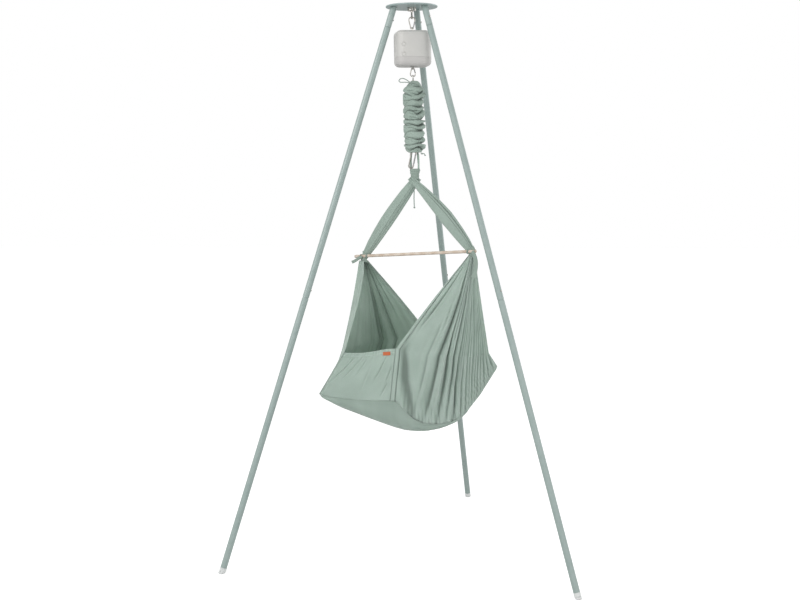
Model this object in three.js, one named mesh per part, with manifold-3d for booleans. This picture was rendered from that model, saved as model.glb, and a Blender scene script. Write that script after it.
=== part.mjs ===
// Hanging baby cradle on a tripod stand, in millimetres, +Z up, floor at Z = 0.
// A drive unit and a coil spring hang under the top plate and carry a cloth cradle on a spreader bar.

import * as THREE from 'three';
import { mergeVertices } from 'three/addons/utils/BufferGeometryUtils.js';
import Module from 'manifold-3d';

const wasm = await Module();
wasm.setup();

// Clearances shared by every piece
const GAP = 0.3;
const CUT_OVERRUN = 6;
const RIGHT_ANGLE = Math.PI / 2;
const FULL_TURN = Math.PI * 2;
const HALF_TURN = Math.PI;
const degrees = THREE.MathUtils.degToRad;

// Stand
const PLATE_UNDERSIDE_Z = 1900;
const PLATE_RADIUS = 88;
const PLATE_THICKNESS = 5;
const PLATE_EDGE_ROUND = 1.2;
const LEG_CIRCLE_RADIUS = 62;
const FOOT_CIRCLE_RADIUS = 704;
const LEG_ANGLES = { right: degrees(-30), back: degrees(90), left: degrees(210) };
const TUBE_RADIUS = 11;
const TUBE_WALL = 1.6;
const SOCKET_END = 70;
const MIDDLE_SEAM = 1024;
const FOOT_STANDOFF = 21.5;
const SPIGOT_LENGTH = 52;
const SPIGOT_CLEARANCE = 0.3;
const SPIGOT_WALL = 1.5;
const SWAGE_TAPER = 3;
const SEAM_LIP = 1;
const TUBE_SIDES = 14;
const WIRE_SIDES = 7;

// Snap buttons that lock the tubes
const SNAP_RISE = 27;
const SNAP_RADIUS = 3;
const SNAP_HOLE_CLEARANCE = 0.4;
const SNAP_PROUD = 2.8;
const SNAP_DOME = 1.6;
const SNAP_FLANGE_RADIUS = 4.2;
const SNAP_FLANGE_THICKNESS = 1;
const SNAP_SPRING_LENGTH = 24;
const SNAP_SPRING_WIDTH = 6;
const SNAP_SPRING_THICKNESS = 0.8;
const SNAP_TURNS = { right: RIGHT_ANGLE, back: 0, left: -RIGHT_ANGLE };

// Feet
const FOOT_PAD_RADIUS = 12;
const FOOT_PAD_HEIGHT = 9;
const FOOT_PAD_ROUND = 3;
const FOOT_PLUG_LENGTH = 24;
const FOOT_COLLAR_RADIUS = 11.4;
const FOOT_COLLAR_LENGTH = 13;

// Wire parts of the hanging chain
const CHAIN_TURN = degrees(16);
const CONTACT = GAP;
const SWIVEL_CUP_RADIUS = 15;
const SWIVEL_CUP_HEIGHT = 12;
const SWIVEL_CUP_WALL = 3;
const SWIVEL_HEAD_RADIUS = 9;
const SWIVEL_HEAD_THICKNESS = 4;
const SWIVEL_STEM_RADIUS = 4;
const SWIVEL_STEM_CLEARANCE = 0.3;
const SWIVEL_EYE_TURN = degrees(72);
const SWIVEL_EYE = { wire: 2.2, bar: 13, height: 24, corner: 2.6 };
const UPPER_LINK = { wire: 2, top: 10, bottom: 4.2, height: 44, gate: 0.7 };
const LOWER_LINK = { wire: 2, top: 4.4, bottom: 8.6, height: 33, gate: 0.66 };
const CRADLE_LINK = { wire: 2.5, top: 7.5, bottom: 7.5, height: 76, gate: 0.62 };
const GATE_STARTS_SHARE = 0.16;
const RING_WIRE = 2;

// Drive unit
const DRIVE_TURN = degrees(10);
const HOUSING_WIDTH = 119;
const HOUSING_DEPTH = 100;
const HOUSING_HEIGHT = 119;
const HOUSING_CORNER = 26;
const HOUSING_EDGE = 15;
const HOUSING_WALL = 2.6;
const HOUSING_SEAM_RISE = 30;
const HOUSING_SPLIT_DEPTH = 8;
const DRIVE_BUTTON_RADIUS = 6.5;
const DRIVE_BUTTON_CLEARANCE = 0.35;
const DRIVE_BUTTON_RECESS = 0.6;
const DRIVE_BUTTON_REST_GAP = 0.5;
const DRIVE_BUTTON_STEM = 7;
const DRIVE_BUTTON_FLANGE = 7.8;
const DRIVE_BUTTON_PLACES = { upper: 12, lower: -21 };
const DRIVE_BUTTON_OFFSET = 38;
const TOP_EYE_WIRE = 2.4;
const TOP_EYE_RADIUS = 7;
const TOP_EYE_HOLE = 5;
const TOP_EYE_LEG = 4.6;
const TOP_EYE_CAP = 1.8;
const TOP_EYE_CAP_RADIUS = 12;
const FRAME_SHEET = 3;
const FRAME_WIDTH = 76;
const FRAME_SHIFT = 5;
const FRAME_FRONT = -26;
const FRAME_TOP_DROP = 12;
const FRAME_BOTTOM_RISE = 17;
const FRAME_BACK = 15;
const GEARBOX_RADIUS = 18;
const GEARBOX_LENGTH = 12;
const MOTOR_CAN_RADIUS = 15;
const MOTOR_CAN_LENGTH = 12;
const MOTOR_CAN_ROUND = 2;
const GEAR_SHIFT = 14;
const CRANK_REACH = 25;
const CRANK_HUB_RADIUS = 8;
const CRANK_TIP_RADIUS = 7;
const CRANK_THICKNESS = 5;
const CRANK_SHAFT_RADIUS = 3;
const CRANK_SLOT_PLAY = 0.6;
const CRANK_SLOT_STRETCH_SHARE = 1.6;
const ROD_RADIUS = 4;
const ROD_CLEARANCE = 0.3;
const ROD_PIN_RADIUS = 2.5;
const ROD_HEAD = 13;
const ROD_HEAD_DEPTH = 9;
const ROD_EYE_RADIUS = 6.5;
const ROD_EYE_DROP = 8;
const ROD_MOUTH_RADIUS = 14;
const BOARD_THICKNESS = 1.6;
const BOARD_HEIGHT = 58;
const BOARD_DEPTH = 26;
const SOCKET_RADIUS = 6;
const SOCKET_BORE = 3.2;
const SOCKET_DEPTH = 12;
const SOCKET_HEIGHT_SHARE = 0.3;

// Spring, its eyes and its ruched cover
const SPRING_COILS = 18;
const SPRING_RADIUS = 15;
const SPRING_WIRE = 2;
const SPRING_BODY = 172;
const SPRING_STEPS_PER_COIL = 8;
const SPRING_SIDES = 5;
const SPRING_RING_RADIUS = 8;
const SPRING_PLUG_RADIUS = 12.4;
const SPRING_PLUG_LENGTH = 10;
const SPRING_FLANGE_RADIUS = 17.2;
const SPRING_FLANGE_THICKNESS = 2;
const SPRING_NECK = 22;
const SPRING_STEM_RADIUS = 3.4;
const LOWER_EYE = { wire: 2.6, bar: 37, height: 38, corner: 4 };
const COVER_RADIUS = 34;
const COVER_WALL = 2.4;
const COVER_RUFFLES = 13;
const COVER_RUFFLE_DEPTH = 4.5;
const COVER_MOUTH_RADIUS = 26;
const COVER_LENGTH = 242.6;
const COVER_SHOULDER = 38;
const DRAWSTRING_RADIUS = 1.6;
const KNOT_RADIUS = 5;

// Cradle: places along the bar (U), across it (V) and up (Z), from the plumb line
const CRADLE_TURN = degrees(-27);
const BAR_LENGTH = 474;
const BAR_RADIUS = 5.5;
const BAR_SHIFT = -9.5;
const BAR_END_ROUND = 1.5;
const KNOT_REACH = 210;
const LEFT_KNOT_Z = 1053;
const RIGHT_KNOT_Z = 1076;
const TIE_RADIUS = 14;
const TIE_LENGTH = 34;
const TIE_WAIST = 10.5;
const RIBBON_WIDTH = 15;
const RIBBON_THICKNESS = 1.4;
const RIGHT_RIBBON = [[4, 2, 0], [14, -5, -10], [24, -12, -34], [25, -18, -60], [20, -26, -86]];
const LEFT_RIBBON = [[-2, 2, -1], [-14, -5, -8], [-26, -6, -16], [-40, -6, -22]];
const RIM_LEFT = -313;
const RIM_RIGHT = 232;
const RIM_HALF_WIDTH = 168;
const RIM_CORNERS = [18, 64, 18, 64];
const RIM_HEIGHTS = [584, 530, 662, 530];
const RIM_SWAY = 20;
const WAIST_LEFT = -236;
const WAIST_RIGHT = 208;
const WAIST_HALF_WIDTH = 160;
const WAIST_CORNERS = [36, 86, 36, 86];
const WAIST_HEIGHTS = [731, 735, 708, 735];
const WAIST_HEM_RISE = 22;
const HEM_LATENESS_SHARE = 1.6;
const CLOTH_SEAM_SHARE = 0.54;
const CLOTH_THICKNESS = 2.4;
const CLOTH_FOLDS = 7;
const CLOTH_FOLD_DEPTH = 9;
const CLOTH_BUNDLE_RADIUS = 12;
const CLOTH_BUNDLE_DROP = 2.4;
const PANEL_GATHER_DEPTH = 3;
const PANEL_GATHERS = 9;
const POCKET_WALL = 3;
const POCKET_DEPTH = 82;
const POCKET_SHIFT_SHARE = 0.14;
const POCKET_END_DEPTH = 12;
const POCKET_LEAN_SHARE = 0.45;
const MATTRESS_THICKNESS = 42;
const MATTRESS_GAP = 1;
const MATTRESS_SHARE = 0.75;
const MATTRESS_SHIFT_SHARE = 0.22;
const APEX_Z = 1322;
const APEX_DROP = 101.6;
const STRAP_WIDTH_TOP = 22;
const STRAP_WIDTH_MIDDLE = 46;
const STRAP_WIDTH_BOTTOM = 28;
const STRAP_THICKNESS = 3.4;
const STRAP_FOLD_DEPTH = 3.4;
const STRAP_FOLDS = 2;
const STRAP_OFFSET = 8;
const STRAP_CROSS = 5;
const APEX_SHIFT = -5;
const LEFT_STRAP_BOW = 12;
const RIGHT_STRAP_BOW = 2;
const WRAP_RADIUS = 19;
const WRAP_DEPTH_SHARE = 0.62;
const WRAP_HEIGHT = 34;
const WRAP_PROFILE_SHARES = [
  [0, 0.62],
  [0.1, 0.74],
  [0.3, 0.8],
  [0.36, 0.76],
  [0.55, 0.9],
  [0.62, 0.86],
  [0.85, 1],
  [1, 0.9],
];
const LOOP_HALF_WIDTH = 13;
const LOOP_THICKNESS = 8;
const LOOP_WIDTH = 11;
const LOOP_OFFSET = 3;
const CRADLE_LINK_OFFSET = 8;
const CRADLE_LINK_LEAN = degrees(-13);
const STRING_RADIUS = 1.8;
const STRING_DROP = 98;
const TAG_LENGTH = 28;
const TAG_HEIGHT = 12;
const TAG_THICKNESS = 1.2;
const TAG_PLACE_SHARE = 0.86;
const TAG_SEAT_SHARE = 0.6;

// Heights of the chain, each piece hanging on the one above
const swivelEyeWireZ = PLATE_UNDERSIDE_Z - SWIVEL_CUP_HEIGHT - CONTACT - SWIVEL_EYE.height;
const upperLinkTopWireZ = swivelEyeWireZ + SWIVEL_EYE.wire + CONTACT + UPPER_LINK.wire;
const upperLinkBottomWireZ = upperLinkTopWireZ - UPPER_LINK.height + UPPER_LINK.wire * 2;
const topEyeWireZ = upperLinkBottomWireZ + UPPER_LINK.wire + CONTACT + TOP_EYE_WIRE;
const housingTopZ = topEyeWireZ - TOP_EYE_RADIUS - TOP_EYE_LEG;
const housingBottomZ = housingTopZ - HOUSING_HEIGHT;
const rodEyeWireZ = housingBottomZ - ROD_EYE_DROP;
const lowerLinkTopWireZ = rodEyeWireZ + RING_WIRE + CONTACT + LOWER_LINK.wire;
const lowerLinkBottomWireZ = lowerLinkTopWireZ - LOWER_LINK.height + LOWER_LINK.wire * 2;
const springRingTopWireZ = lowerLinkBottomWireZ + LOWER_LINK.wire + CONTACT + RING_WIRE;
const springRingZ = springRingTopWireZ - SPRING_RING_RADIUS;
const springTopZ = springRingZ - SPRING_RING_RADIUS - SPRING_NECK;
const springBottomZ = springTopZ - SPRING_BODY;
const lowerEyeWireZ = springBottomZ - SPRING_FLANGE_THICKNESS - CONTACT - LOWER_EYE.height;
const axisY = -FOOT_CIRCLE_RADIUS / 4;

// Materials
function paint(colour, roughness, metalness) {
  return new THREE.MeshStandardMaterial({ color: colour, roughness, metalness });
}

const finish = {
  sageEnamel: paint(0x96a7a3, 0.42, 0.25),
  steel: paint(0xb9b7b2, 0.3, 1),
  darkSteel: paint(0x74777a, 0.4, 1),
  clearPlastic: paint(0xe7e8e8, 0.35, 0),
  housing: paint(0xcfcdc9, 0.5, 0),
  housingBase: paint(0xc6c4c0, 0.5, 0),
  board: paint(0x2f6b4a, 0.6, 0),
  blackPlastic: paint(0x26272a, 0.5, 0),
  sageCloth: paint(0xa7b7ad, 0.9, 0),
  shadeCloth: paint(0x8f9f95, 0.9, 0),
  cord: paint(0x9dada3, 0.9, 0),
  mattress: paint(0xb6c3ba, 0.95, 0),
  beech: paint(0xdbcec1, 0.6, 0),
  orange: paint(0xc9714a, 0.8, 0),
};

// Signed volume tells whether a closed mesh has its faces pointing out
function signedVolume(geometry) {
  const places = geometry.attributes.position;
  const index = geometry.index;
  const corner = [new THREE.Vector3(), new THREE.Vector3(), new THREE.Vector3()];
  let volume = 0;
  for (let i = 0; i < index.count; i += 3) {
    corner.forEach((point, k) => point.fromBufferAttribute(places, index.getX(i + k)));
    volume += corner[0].dot(corner[1].clone().cross(corner[2])) / 6;
  }
  return volume;
}

function mergeScale(geometry) {
  geometry.computeBoundingBox();
  return geometry.boundingBox.getSize(new THREE.Vector3()).length() * 1e-6;
}

// One closed geometry with shared corners and outward faces
function closed(source) {
  const bare = source.clone();
  Object.keys(bare.attributes).forEach((name) => {
    if (name !== 'position') bare.deleteAttribute(name);
  });
  bare.clearGroups();
  const geometry = mergeVertices(bare, mergeScale(bare));
  const kept = [];
  const index = geometry.index.array;
  for (let i = 0; i < index.length; i += 3) {
    const [a, b, c] = [index[i], index[i + 1], index[i + 2]];
    if (a !== b && b !== c && c !== a) kept.push(a, b, c);
  }
  geometry.setIndex(kept);
  if (signedVolume(geometry) < 0) {
    for (let i = 0; i < kept.length; i += 3) {
      [kept[i + 1], kept[i + 2]] = [kept[i + 2], kept[i + 1]];
    }
    geometry.setIndex(kept);
  }
  return geometry;
}

function solidOf(geometry) {
  const shape = closed(geometry);
  return new wasm.Manifold(new wasm.Mesh({
    numProp: 3,
    vertProperties: new Float32Array(shape.attributes.position.array),
    triVerts: new Uint32Array(shape.index.array),
  }));
}

function geometryOf(solid) {
  const mesh = solid.getMesh();
  const geometry = new THREE.BufferGeometry();
  geometry.setAttribute('position', new THREE.BufferAttribute(Float32Array.from(mesh.vertProperties), 3));
  geometry.setIndex([...mesh.triVerts]);
  return geometry;
}

function joined(...parts) {
  return geometryOf(parts.map(solidOf).reduce((whole, part) => whole.add(part)));
}

function cut(whole, ...tools) {
  return geometryOf(tools.map(solidOf).reduce((rest, tool) => rest.subtract(tool), solidOf(whole)));
}

function common(whole, ...others) {
  return geometryOf(others.map(solidOf).reduce((rest, other) => rest.intersect(other), solidOf(whole)));
}

// Shape helpers, each with its axis or height along Z
function turned(profile, sides) {
  const points = profile.map(([radius, height]) => new THREE.Vector2(radius, height));
  const onAxis = points[0].x === 0 && points[points.length - 1].x === 0;
  if (!onAxis) points.push(points[0].clone());
  return closed(new THREE.LatheGeometry(points, sides).rotateX(RIGHT_ANGLE));
}

function rod(radius, low, high, sides = 16) {
  return turned([[0, low], [radius, low], [radius, high], [0, high]], sides);
}

function roundedRod(radius, low, high, round, sides = 16) {
  const near = radius - round;
  const profile = [
    [0, low],
    [near, low],
    [radius, low + round],
    [radius, high - round],
    [near, high],
    [0, high],
  ];
  return turned(profile, sides);
}

function pipe(outer, inner, low, high, sides = 16) {
  return turned([[inner, low], [outer, low], [outer, high], [inner, high]], sides);
}

function block(width, depth, height, x = 0, y = 0, z = 0) {
  return new THREE.BoxGeometry(width, depth, height).translate(x, y, z);
}

function circleSection(radius, sides) {
  const points = [];
  for (let i = 0; i < sides; i += 1) {
    const angle = FULL_TURN * (i + 0.5) / sides;
    points.push(new THREE.Vector2(radius * Math.cos(angle), radius * Math.sin(angle)));
  }
  return new THREE.Shape(points);
}

function ovalSection(halfX, halfY, sides) {
  const unit = circleSection(1, sides).getPoints();
  return new THREE.Shape(unit.map((point) => new THREE.Vector2(point.x * halfX, point.y * halfY)));
}

function swept(section, curve, steps) {
  return closed(new THREE.ExtrudeGeometry(section, { steps, bevelEnabled: false, extrudePath: curve }));
}

function smooth(points) {
  return new THREE.CatmullRomCurve3(points.map((point) => new THREE.Vector3(...point)), false, 'centripetal');
}

function ring(radius, wire, sides = 7, steps = 16) {
  return closed(new THREE.TorusGeometry(radius, wire, sides, steps).rotateX(RIGHT_ANGLE));
}

function roundedRectangle(width, depth, radius) {
  const x = width / 2;
  const y = depth / 2;
  const shape = new THREE.Shape();
  shape.moveTo(-x + radius, -y);
  shape.lineTo(x - radius, -y);
  shape.absarc(x - radius, -y + radius, radius, -RIGHT_ANGLE, 0);
  shape.lineTo(x, y - radius);
  shape.absarc(x - radius, y - radius, radius, 0, RIGHT_ANGLE);
  shape.lineTo(-x + radius, y);
  shape.absarc(-x + radius, y - radius, radius, RIGHT_ANGLE, HALF_TURN);
  shape.lineTo(-x, -y + radius);
  shape.absarc(-x + radius, -y + radius, radius, HALF_TURN, HALF_TURN + RIGHT_ANGLE);
  return shape;
}

// A closed skin over rings of points; closedLoop joins the last ring to the first, else the ends are capped
function skinned(rings, closedLoop) {
  const around = rings[0].length;
  const places = rings.flat().flatMap((point) => [point.x, point.y, point.z]);
  const index = [];
  const last = closedLoop ? rings.length : rings.length - 1;
  for (let row = 0; row < last; row += 1) {
    const next = (row + 1) % rings.length;
    for (let i = 0; i < around; i += 1) {
      const j = (i + 1) % around;
      const [a, b, c, d] = [row * around + i, row * around + j, next * around + i, next * around + j];
      index.push(a, b, d, a, d, c);
    }
  }
  if (!closedLoop) {
    const lastRow = rings.length - 1;
    [[rings[0], 0, 1], [rings[lastRow], lastRow * around, -1]].forEach(([end, start, way]) => {
      const centre = end.reduce((sum, point) => sum.add(point), new THREE.Vector3()).divideScalar(around);
      const hub = places.length / 3;
      places.push(centre.x, centre.y, centre.z);
      for (let i = 0; i < around; i += 1) {
        const j = (i + 1) % around;
        if (way > 0) index.push(hub, start + j, start + i);
        else index.push(hub, start + i, start + j);
      }
    });
  }
  const geometry = new THREE.BufferGeometry();
  geometry.setAttribute('position', new THREE.Float32BufferAttribute(places, 3));
  geometry.setIndex(index);
  return closed(geometry);
}

// A sheet of cloth of even thickness over a grid of points; the last row keeps a level edge
function sheet(grid, thickness, levelLastRow) {
  const rows = grid.length;
  const columns = grid[0].length;
  const faces = [[], []];
  for (let r = 0; r < rows; r += 1) {
    for (let c = 0; c < columns; c += 1) {
      const along = grid[r][Math.min(c + 1, columns - 1)].clone().sub(grid[r][Math.max(c - 1, 0)]);
      const down = grid[Math.min(r + 1, rows - 1)][c].clone().sub(grid[Math.max(r - 1, 0)][c]);
      const normal = along.cross(down).normalize();
      if (levelLastRow && r === rows - 1) normal.setZ(0).normalize();
      [1, -1].forEach((way, k) => {
        faces[k].push(grid[r][c].clone().addScaledVector(normal, way * thickness / 2));
      });
    }
  }
  const index = [];
  const at = (side, r, c) => side * rows * columns + r * columns + c;
  const quad = (a, b, c, d) => index.push(a, b, c, a, c, d);
  for (let r = 0; r < rows - 1; r += 1) {
    for (let c = 0; c < columns - 1; c += 1) {
      quad(at(0, r, c), at(0, r + 1, c), at(0, r + 1, c + 1), at(0, r, c + 1));
      quad(at(1, r, c), at(1, r, c + 1), at(1, r + 1, c + 1), at(1, r + 1, c));
    }
    quad(at(0, r, 0), at(1, r, 0), at(1, r + 1, 0), at(0, r + 1, 0));
    quad(at(0, r, columns - 1), at(0, r + 1, columns - 1), at(1, r + 1, columns - 1), at(1, r, columns - 1));
  }
  for (let c = 0; c < columns - 1; c += 1) {
    quad(at(0, 0, c), at(0, 0, c + 1), at(1, 0, c + 1), at(1, 0, c));
    quad(at(0, rows - 1, c), at(1, rows - 1, c), at(1, rows - 1, c + 1), at(0, rows - 1, c + 1));
  }
  const geometry = new THREE.BufferGeometry();
  const places = faces.flat().flatMap((point) => [point.x, point.y, point.z]);
  geometry.setAttribute('position', new THREE.Float32BufferAttribute(places, 3));
  geometry.setIndex(index);
  return closed(geometry);
}

function node(name, geometry, material, parent) {
  const mesh = new THREE.Mesh(geometry, material);
  mesh.name = name;
  parent.add(mesh);
  return mesh;
}

const cradle = new THREE.Group();
const plumb = new THREE.Group();
plumb.position.y = axisY;
cradle.add(plumb);

// Top plate with a bore for the swivel's fixing
const plateTopZ = PLATE_UNDERSIDE_Z + PLATE_THICKNESS;
const plateRim = PLATE_RADIUS - PLATE_EDGE_ROUND;
node('top_plate', turned([
  [0, PLATE_UNDERSIDE_Z],
  [plateRim, PLATE_UNDERSIDE_Z],
  [PLATE_RADIUS, PLATE_UNDERSIDE_Z + PLATE_EDGE_ROUND],
  [PLATE_RADIUS, plateTopZ - PLATE_EDGE_ROUND],
  [plateRim, plateTopZ],
  [0, plateTopZ],
], 48), finish.sageEnamel, plumb);

// Legs: each leg has its own frame, with its axis along the tube and zero at the plate
const legSpread = FOOT_CIRCLE_RADIUS - LEG_CIRCLE_RADIUS;
const legLength = Math.hypot(legSpread, PLATE_UNDERSIDE_Z);
const legTilt = Math.atan2(legSpread, PLATE_UNDERSIDE_Z);
const tubeEnd = legLength - FOOT_STANDOFF;
const legPlace = new THREE.Matrix4().makeRotationY(-legTilt)
  .setPosition(LEG_CIRCLE_RADIUS, 0, PLATE_UNDERSIDE_Z);
const tubeBore = TUBE_RADIUS - TUBE_WALL;
const spigotRadius = tubeBore - SPIGOT_CLEARANCE;
const spigotBore = spigotRadius - SPIGOT_WALL;

function alongLeg(geometry) {
  return geometry.applyMatrix4(legPlace);
}

function crossHole(radius, along, turn) {
  return rod(radius, 0, TUBE_RADIUS + CUT_OVERRUN, 8)
    .rotateX(RIGHT_ANGLE).rotateZ(turn).translate(0, 0, -along);
}

function socketTube(turn) {
  const snap = SOCKET_END - SNAP_RISE;
  const tube = cut(pipe(TUBE_RADIUS, tubeBore, -SOCKET_END, TUBE_RADIUS, TUBE_SIDES),
    crossHole(SNAP_RADIUS + SNAP_HOLE_CLEARANCE, snap, turn));
  const above = block(PLATE_RADIUS * 2, PLATE_RADIUS * 2, PLATE_RADIUS, LEG_CIRCLE_RADIUS, 0,
    PLATE_UNDERSIDE_Z - GAP + PLATE_RADIUS / 2);
  return cut(alongLeg(tube), above);
}

// A leg tube from one seam to the next, with a swaged spigot that enters the tube above
function legTube(top, bottom, crossHoles, turn) {
  const neck = -top - SEAM_LIP;
  const shape = turned([
    [tubeBore, -bottom],
    [TUBE_RADIUS, -bottom],
    [TUBE_RADIUS, neck - SWAGE_TAPER],
    [TUBE_RADIUS - SEAM_LIP, neck],
    [spigotRadius, neck],
    [spigotRadius, -top + SPIGOT_LENGTH],
    [spigotBore, -top + SPIGOT_LENGTH],
    [spigotBore, neck - SWAGE_TAPER],
    [tubeBore, neck - SWAGE_TAPER - SPIGOT_WALL],
  ], TUBE_SIDES);
  const holes = crossHoles.map((along) => crossHole(SNAP_RADIUS + SNAP_HOLE_CLEARANCE, along, turn));
  return alongLeg(cut(shape, ...holes));
}

// A snap button on the end of its leaf spring, inside the spigot; its dome stands out through both tubes
function snapButton(seam, turn) {
  const inside = spigotBore - SNAP_FLANGE_THICKNESS;
  const seat = Math.sqrt(inside ** 2 - SNAP_FLANGE_RADIUS ** 2);
  const tip = TUBE_RADIUS + SNAP_PROUD;
  const pin = turned([
    [0, seat - SNAP_FLANGE_THICKNESS],
    [SNAP_FLANGE_RADIUS, seat - SNAP_FLANGE_THICKNESS],
    [SNAP_FLANGE_RADIUS, seat],
    [SNAP_RADIUS, seat],
    [SNAP_RADIUS, tip - SNAP_DOME],
    [SNAP_RADIUS / 2, tip - SNAP_DOME / 4],
    [0, tip],
  ], 8).rotateX(RIGHT_ANGLE);
  const leaf = block(SNAP_SPRING_WIDTH, SNAP_SPRING_THICKNESS, SNAP_SPRING_LENGTH,
    0, -(seat - SNAP_FLANGE_THICKNESS + SNAP_SPRING_THICKNESS / 2), SNAP_SPRING_LENGTH / 2 - SNAP_RADIUS);
  return alongLeg(joined(pin, leaf).rotateZ(turn).translate(0, 0, -(seam - SNAP_RISE)));
}

// Foot glide: a plug and a collar on the tube end, over a level pad
function footGlide() {
  const collarTop = -tubeEnd - GAP;
  const plug = rod(tubeBore - SPIGOT_CLEARANCE, collarTop - FOOT_COLLAR_RADIUS, collarTop + FOOT_PLUG_LENGTH,
    TUBE_SIDES);
  const collar = rod(FOOT_COLLAR_RADIUS, collarTop - FOOT_COLLAR_LENGTH, collarTop, TUBE_SIDES);
  const padTop = FOOT_PAD_HEIGHT;
  const pad = turned([
    [0, 0],
    [FOOT_PAD_RADIUS - FOOT_PAD_ROUND, 0],
    [FOOT_PAD_RADIUS, FOOT_PAD_ROUND],
    [FOOT_PAD_RADIUS, padTop - FOOT_PAD_ROUND],
    [FOOT_PAD_RADIUS - FOOT_PAD_ROUND, padTop],
    [0, padTop],
  ], 16).translate(FOOT_CIRCLE_RADIUS, 0, 0);
  const below = block(FOOT_PAD_RADIUS * 4, FOOT_PAD_RADIUS * 4, FOOT_PAD_RADIUS,
    FOOT_CIRCLE_RADIUS, 0, FOOT_PAD_HEIGHT / 2 - FOOT_PAD_RADIUS / 2);
  return joined(cut(alongLeg(joined(plug, collar)), below), pad);
}

Object.entries(LEG_ANGLES).forEach(([side, angle]) => {
  const leg = new THREE.Group();
  leg.rotation.z = angle;
  plumb.add(leg);
  const turn = SNAP_TURNS[side];
  node(`${side}_leg_socket`, socketTube(turn), finish.sageEnamel, leg);
  node(`${side}_upper_leg`, legTube(SOCKET_END, MIDDLE_SEAM - GAP,
    [SOCKET_END - SNAP_RISE, MIDDLE_SEAM - SNAP_RISE], turn), finish.sageEnamel, leg);
  node(`${side}_lower_leg`, legTube(MIDDLE_SEAM, tubeEnd, [MIDDLE_SEAM - SNAP_RISE], turn),
    finish.sageEnamel, leg);
  node(`${side}_foot`, footGlide(), finish.clearPlastic, leg);
  node(`${side}_socket_button`, snapButton(SOCKET_END, turn), finish.steel, leg);
  node(`${side}_seam_button`, snapButton(MIDDLE_SEAM, turn), finish.steel, leg);
});

// Chain frame: X runs right, Y runs away and Z up, seen from the front
const chain = new THREE.Group();
chain.rotation.z = CHAIN_TURN;
plumb.add(chain);

// Swivel cup under the plate, with the head of the turning eye inside it
const cupFloorZ = PLATE_UNDERSIDE_Z - SWIVEL_CUP_HEIGHT;
const stemHole = SWIVEL_STEM_RADIUS + SWIVEL_STEM_CLEARANCE;
const cupInside = SWIVEL_CUP_RADIUS - SWIVEL_CUP_WALL;
node('swivel_cup', turned([
  [stemHole, cupFloorZ],
  [SWIVEL_CUP_RADIUS - PLATE_EDGE_ROUND, cupFloorZ],
  [SWIVEL_CUP_RADIUS, cupFloorZ + PLATE_EDGE_ROUND],
  [SWIVEL_CUP_RADIUS, PLATE_UNDERSIDE_Z - GAP],
  [cupInside, PLATE_UNDERSIDE_Z - GAP],
  [cupInside, cupFloorZ + SWIVEL_CUP_WALL],
  [stemHole, cupFloorZ + SWIVEL_CUP_WALL],
], 24), finish.steel, chain);

// A three-cornered wire eye in the plane across X, with its straight bar below and its point at the top
function deltaEye({ wire, bar, height, corner }) {
  const reach = bar / 2;
  const path = new THREE.CurvePath();
  const point = (y, z) => new THREE.Vector3(0, y, z);
  const bow = (from, through, to) => new THREE.QuadraticBezierCurve3(from, through, to);
  const side = new THREE.Vector2(-reach, height - corner).normalize();
  const rise = point(reach + side.x * corner, side.y * corner);
  const peak = point(corner / 2, height - corner);
  path.add(new THREE.LineCurve3(point(0, 0), point(reach - corner, 0)));
  path.add(bow(point(reach - corner, 0), point(reach, 0), rise));
  path.add(new THREE.LineCurve3(rise, peak));
  path.add(bow(peak, point(0, height), point(-peak.y, peak.z)));
  path.add(new THREE.LineCurve3(point(-peak.y, peak.z), point(-rise.y, rise.z)));
  path.add(bow(point(-rise.y, rise.z), point(-reach, 0), point(-reach + corner, 0)));
  path.add(new THREE.LineCurve3(point(-reach + corner, 0), point(0, 0)));
  const rings = [];
  const steps = 26;
  const flat = new THREE.Vector3(1, 0, 0);
  for (let i = 0; i < steps; i += 1) {
    const centre = path.getPointAt(i / steps);
    const ahead = path.getTangentAt(i / steps);
    const out = flat.clone().cross(ahead).normalize();
    rings.push([...Array(WIRE_SIDES).keys()].map((k) => {
      const angle = FULL_TURN * (k + 0.5) / WIRE_SIDES;
      return centre.clone()
        .addScaledVector(flat, wire * Math.cos(angle))
        .addScaledVector(out, wire * Math.sin(angle));
    }));
  }
  return skinned(rings, true);
}

const swivelHeadZ = cupFloorZ + SWIVEL_CUP_WALL + GAP;
const swivelPeakZ = swivelEyeWireZ + SWIVEL_EYE.height;
const swivelEye = joined(
  deltaEye(SWIVEL_EYE).translate(0, 0, swivelEyeWireZ).rotateZ(SWIVEL_EYE_TURN - RIGHT_ANGLE),
  rod(SWIVEL_STEM_RADIUS, swivelPeakZ - SWIVEL_EYE.wire * 2, swivelHeadZ + SWIVEL_HEAD_THICKNESS / 2, 12),
  rod(SWIVEL_HEAD_RADIUS, swivelHeadZ, swivelHeadZ + SWIVEL_HEAD_THICKNESS, 16),
);
node('swivel_eye', swivelEye, finish.steel, chain);

// Pear-shaped snap link in the plane of X and Z, with its bottom wire at Z = 0 and its gate on the right
function linkOutline({ wire, top, bottom, height }) {
  const rise = height - wire * 2 - top - bottom;
  const lean = Math.asin((top - bottom) / rise);
  const side = new THREE.Vector3(Math.cos(lean), 0, -Math.sin(lean));
  const upper = new THREE.Vector3(0, 0, bottom + rise).addScaledVector(side, top);
  const lower = new THREE.Vector3(0, 0, bottom).addScaledVector(side, bottom);
  return { rise, lean, upper, lower };
}

class ArcInPlane extends THREE.Curve {
  constructor(centreZ, radius, from, to) {
    super();
    Object.assign(this, { centreZ, radius, from, to });
  }

  getPoint(t, target = new THREE.Vector3()) {
    const angle = this.from + (this.to - this.from) * t;
    return target.set(this.radius * Math.cos(angle), 0, this.centreZ + this.radius * Math.sin(angle));
  }
}

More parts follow.
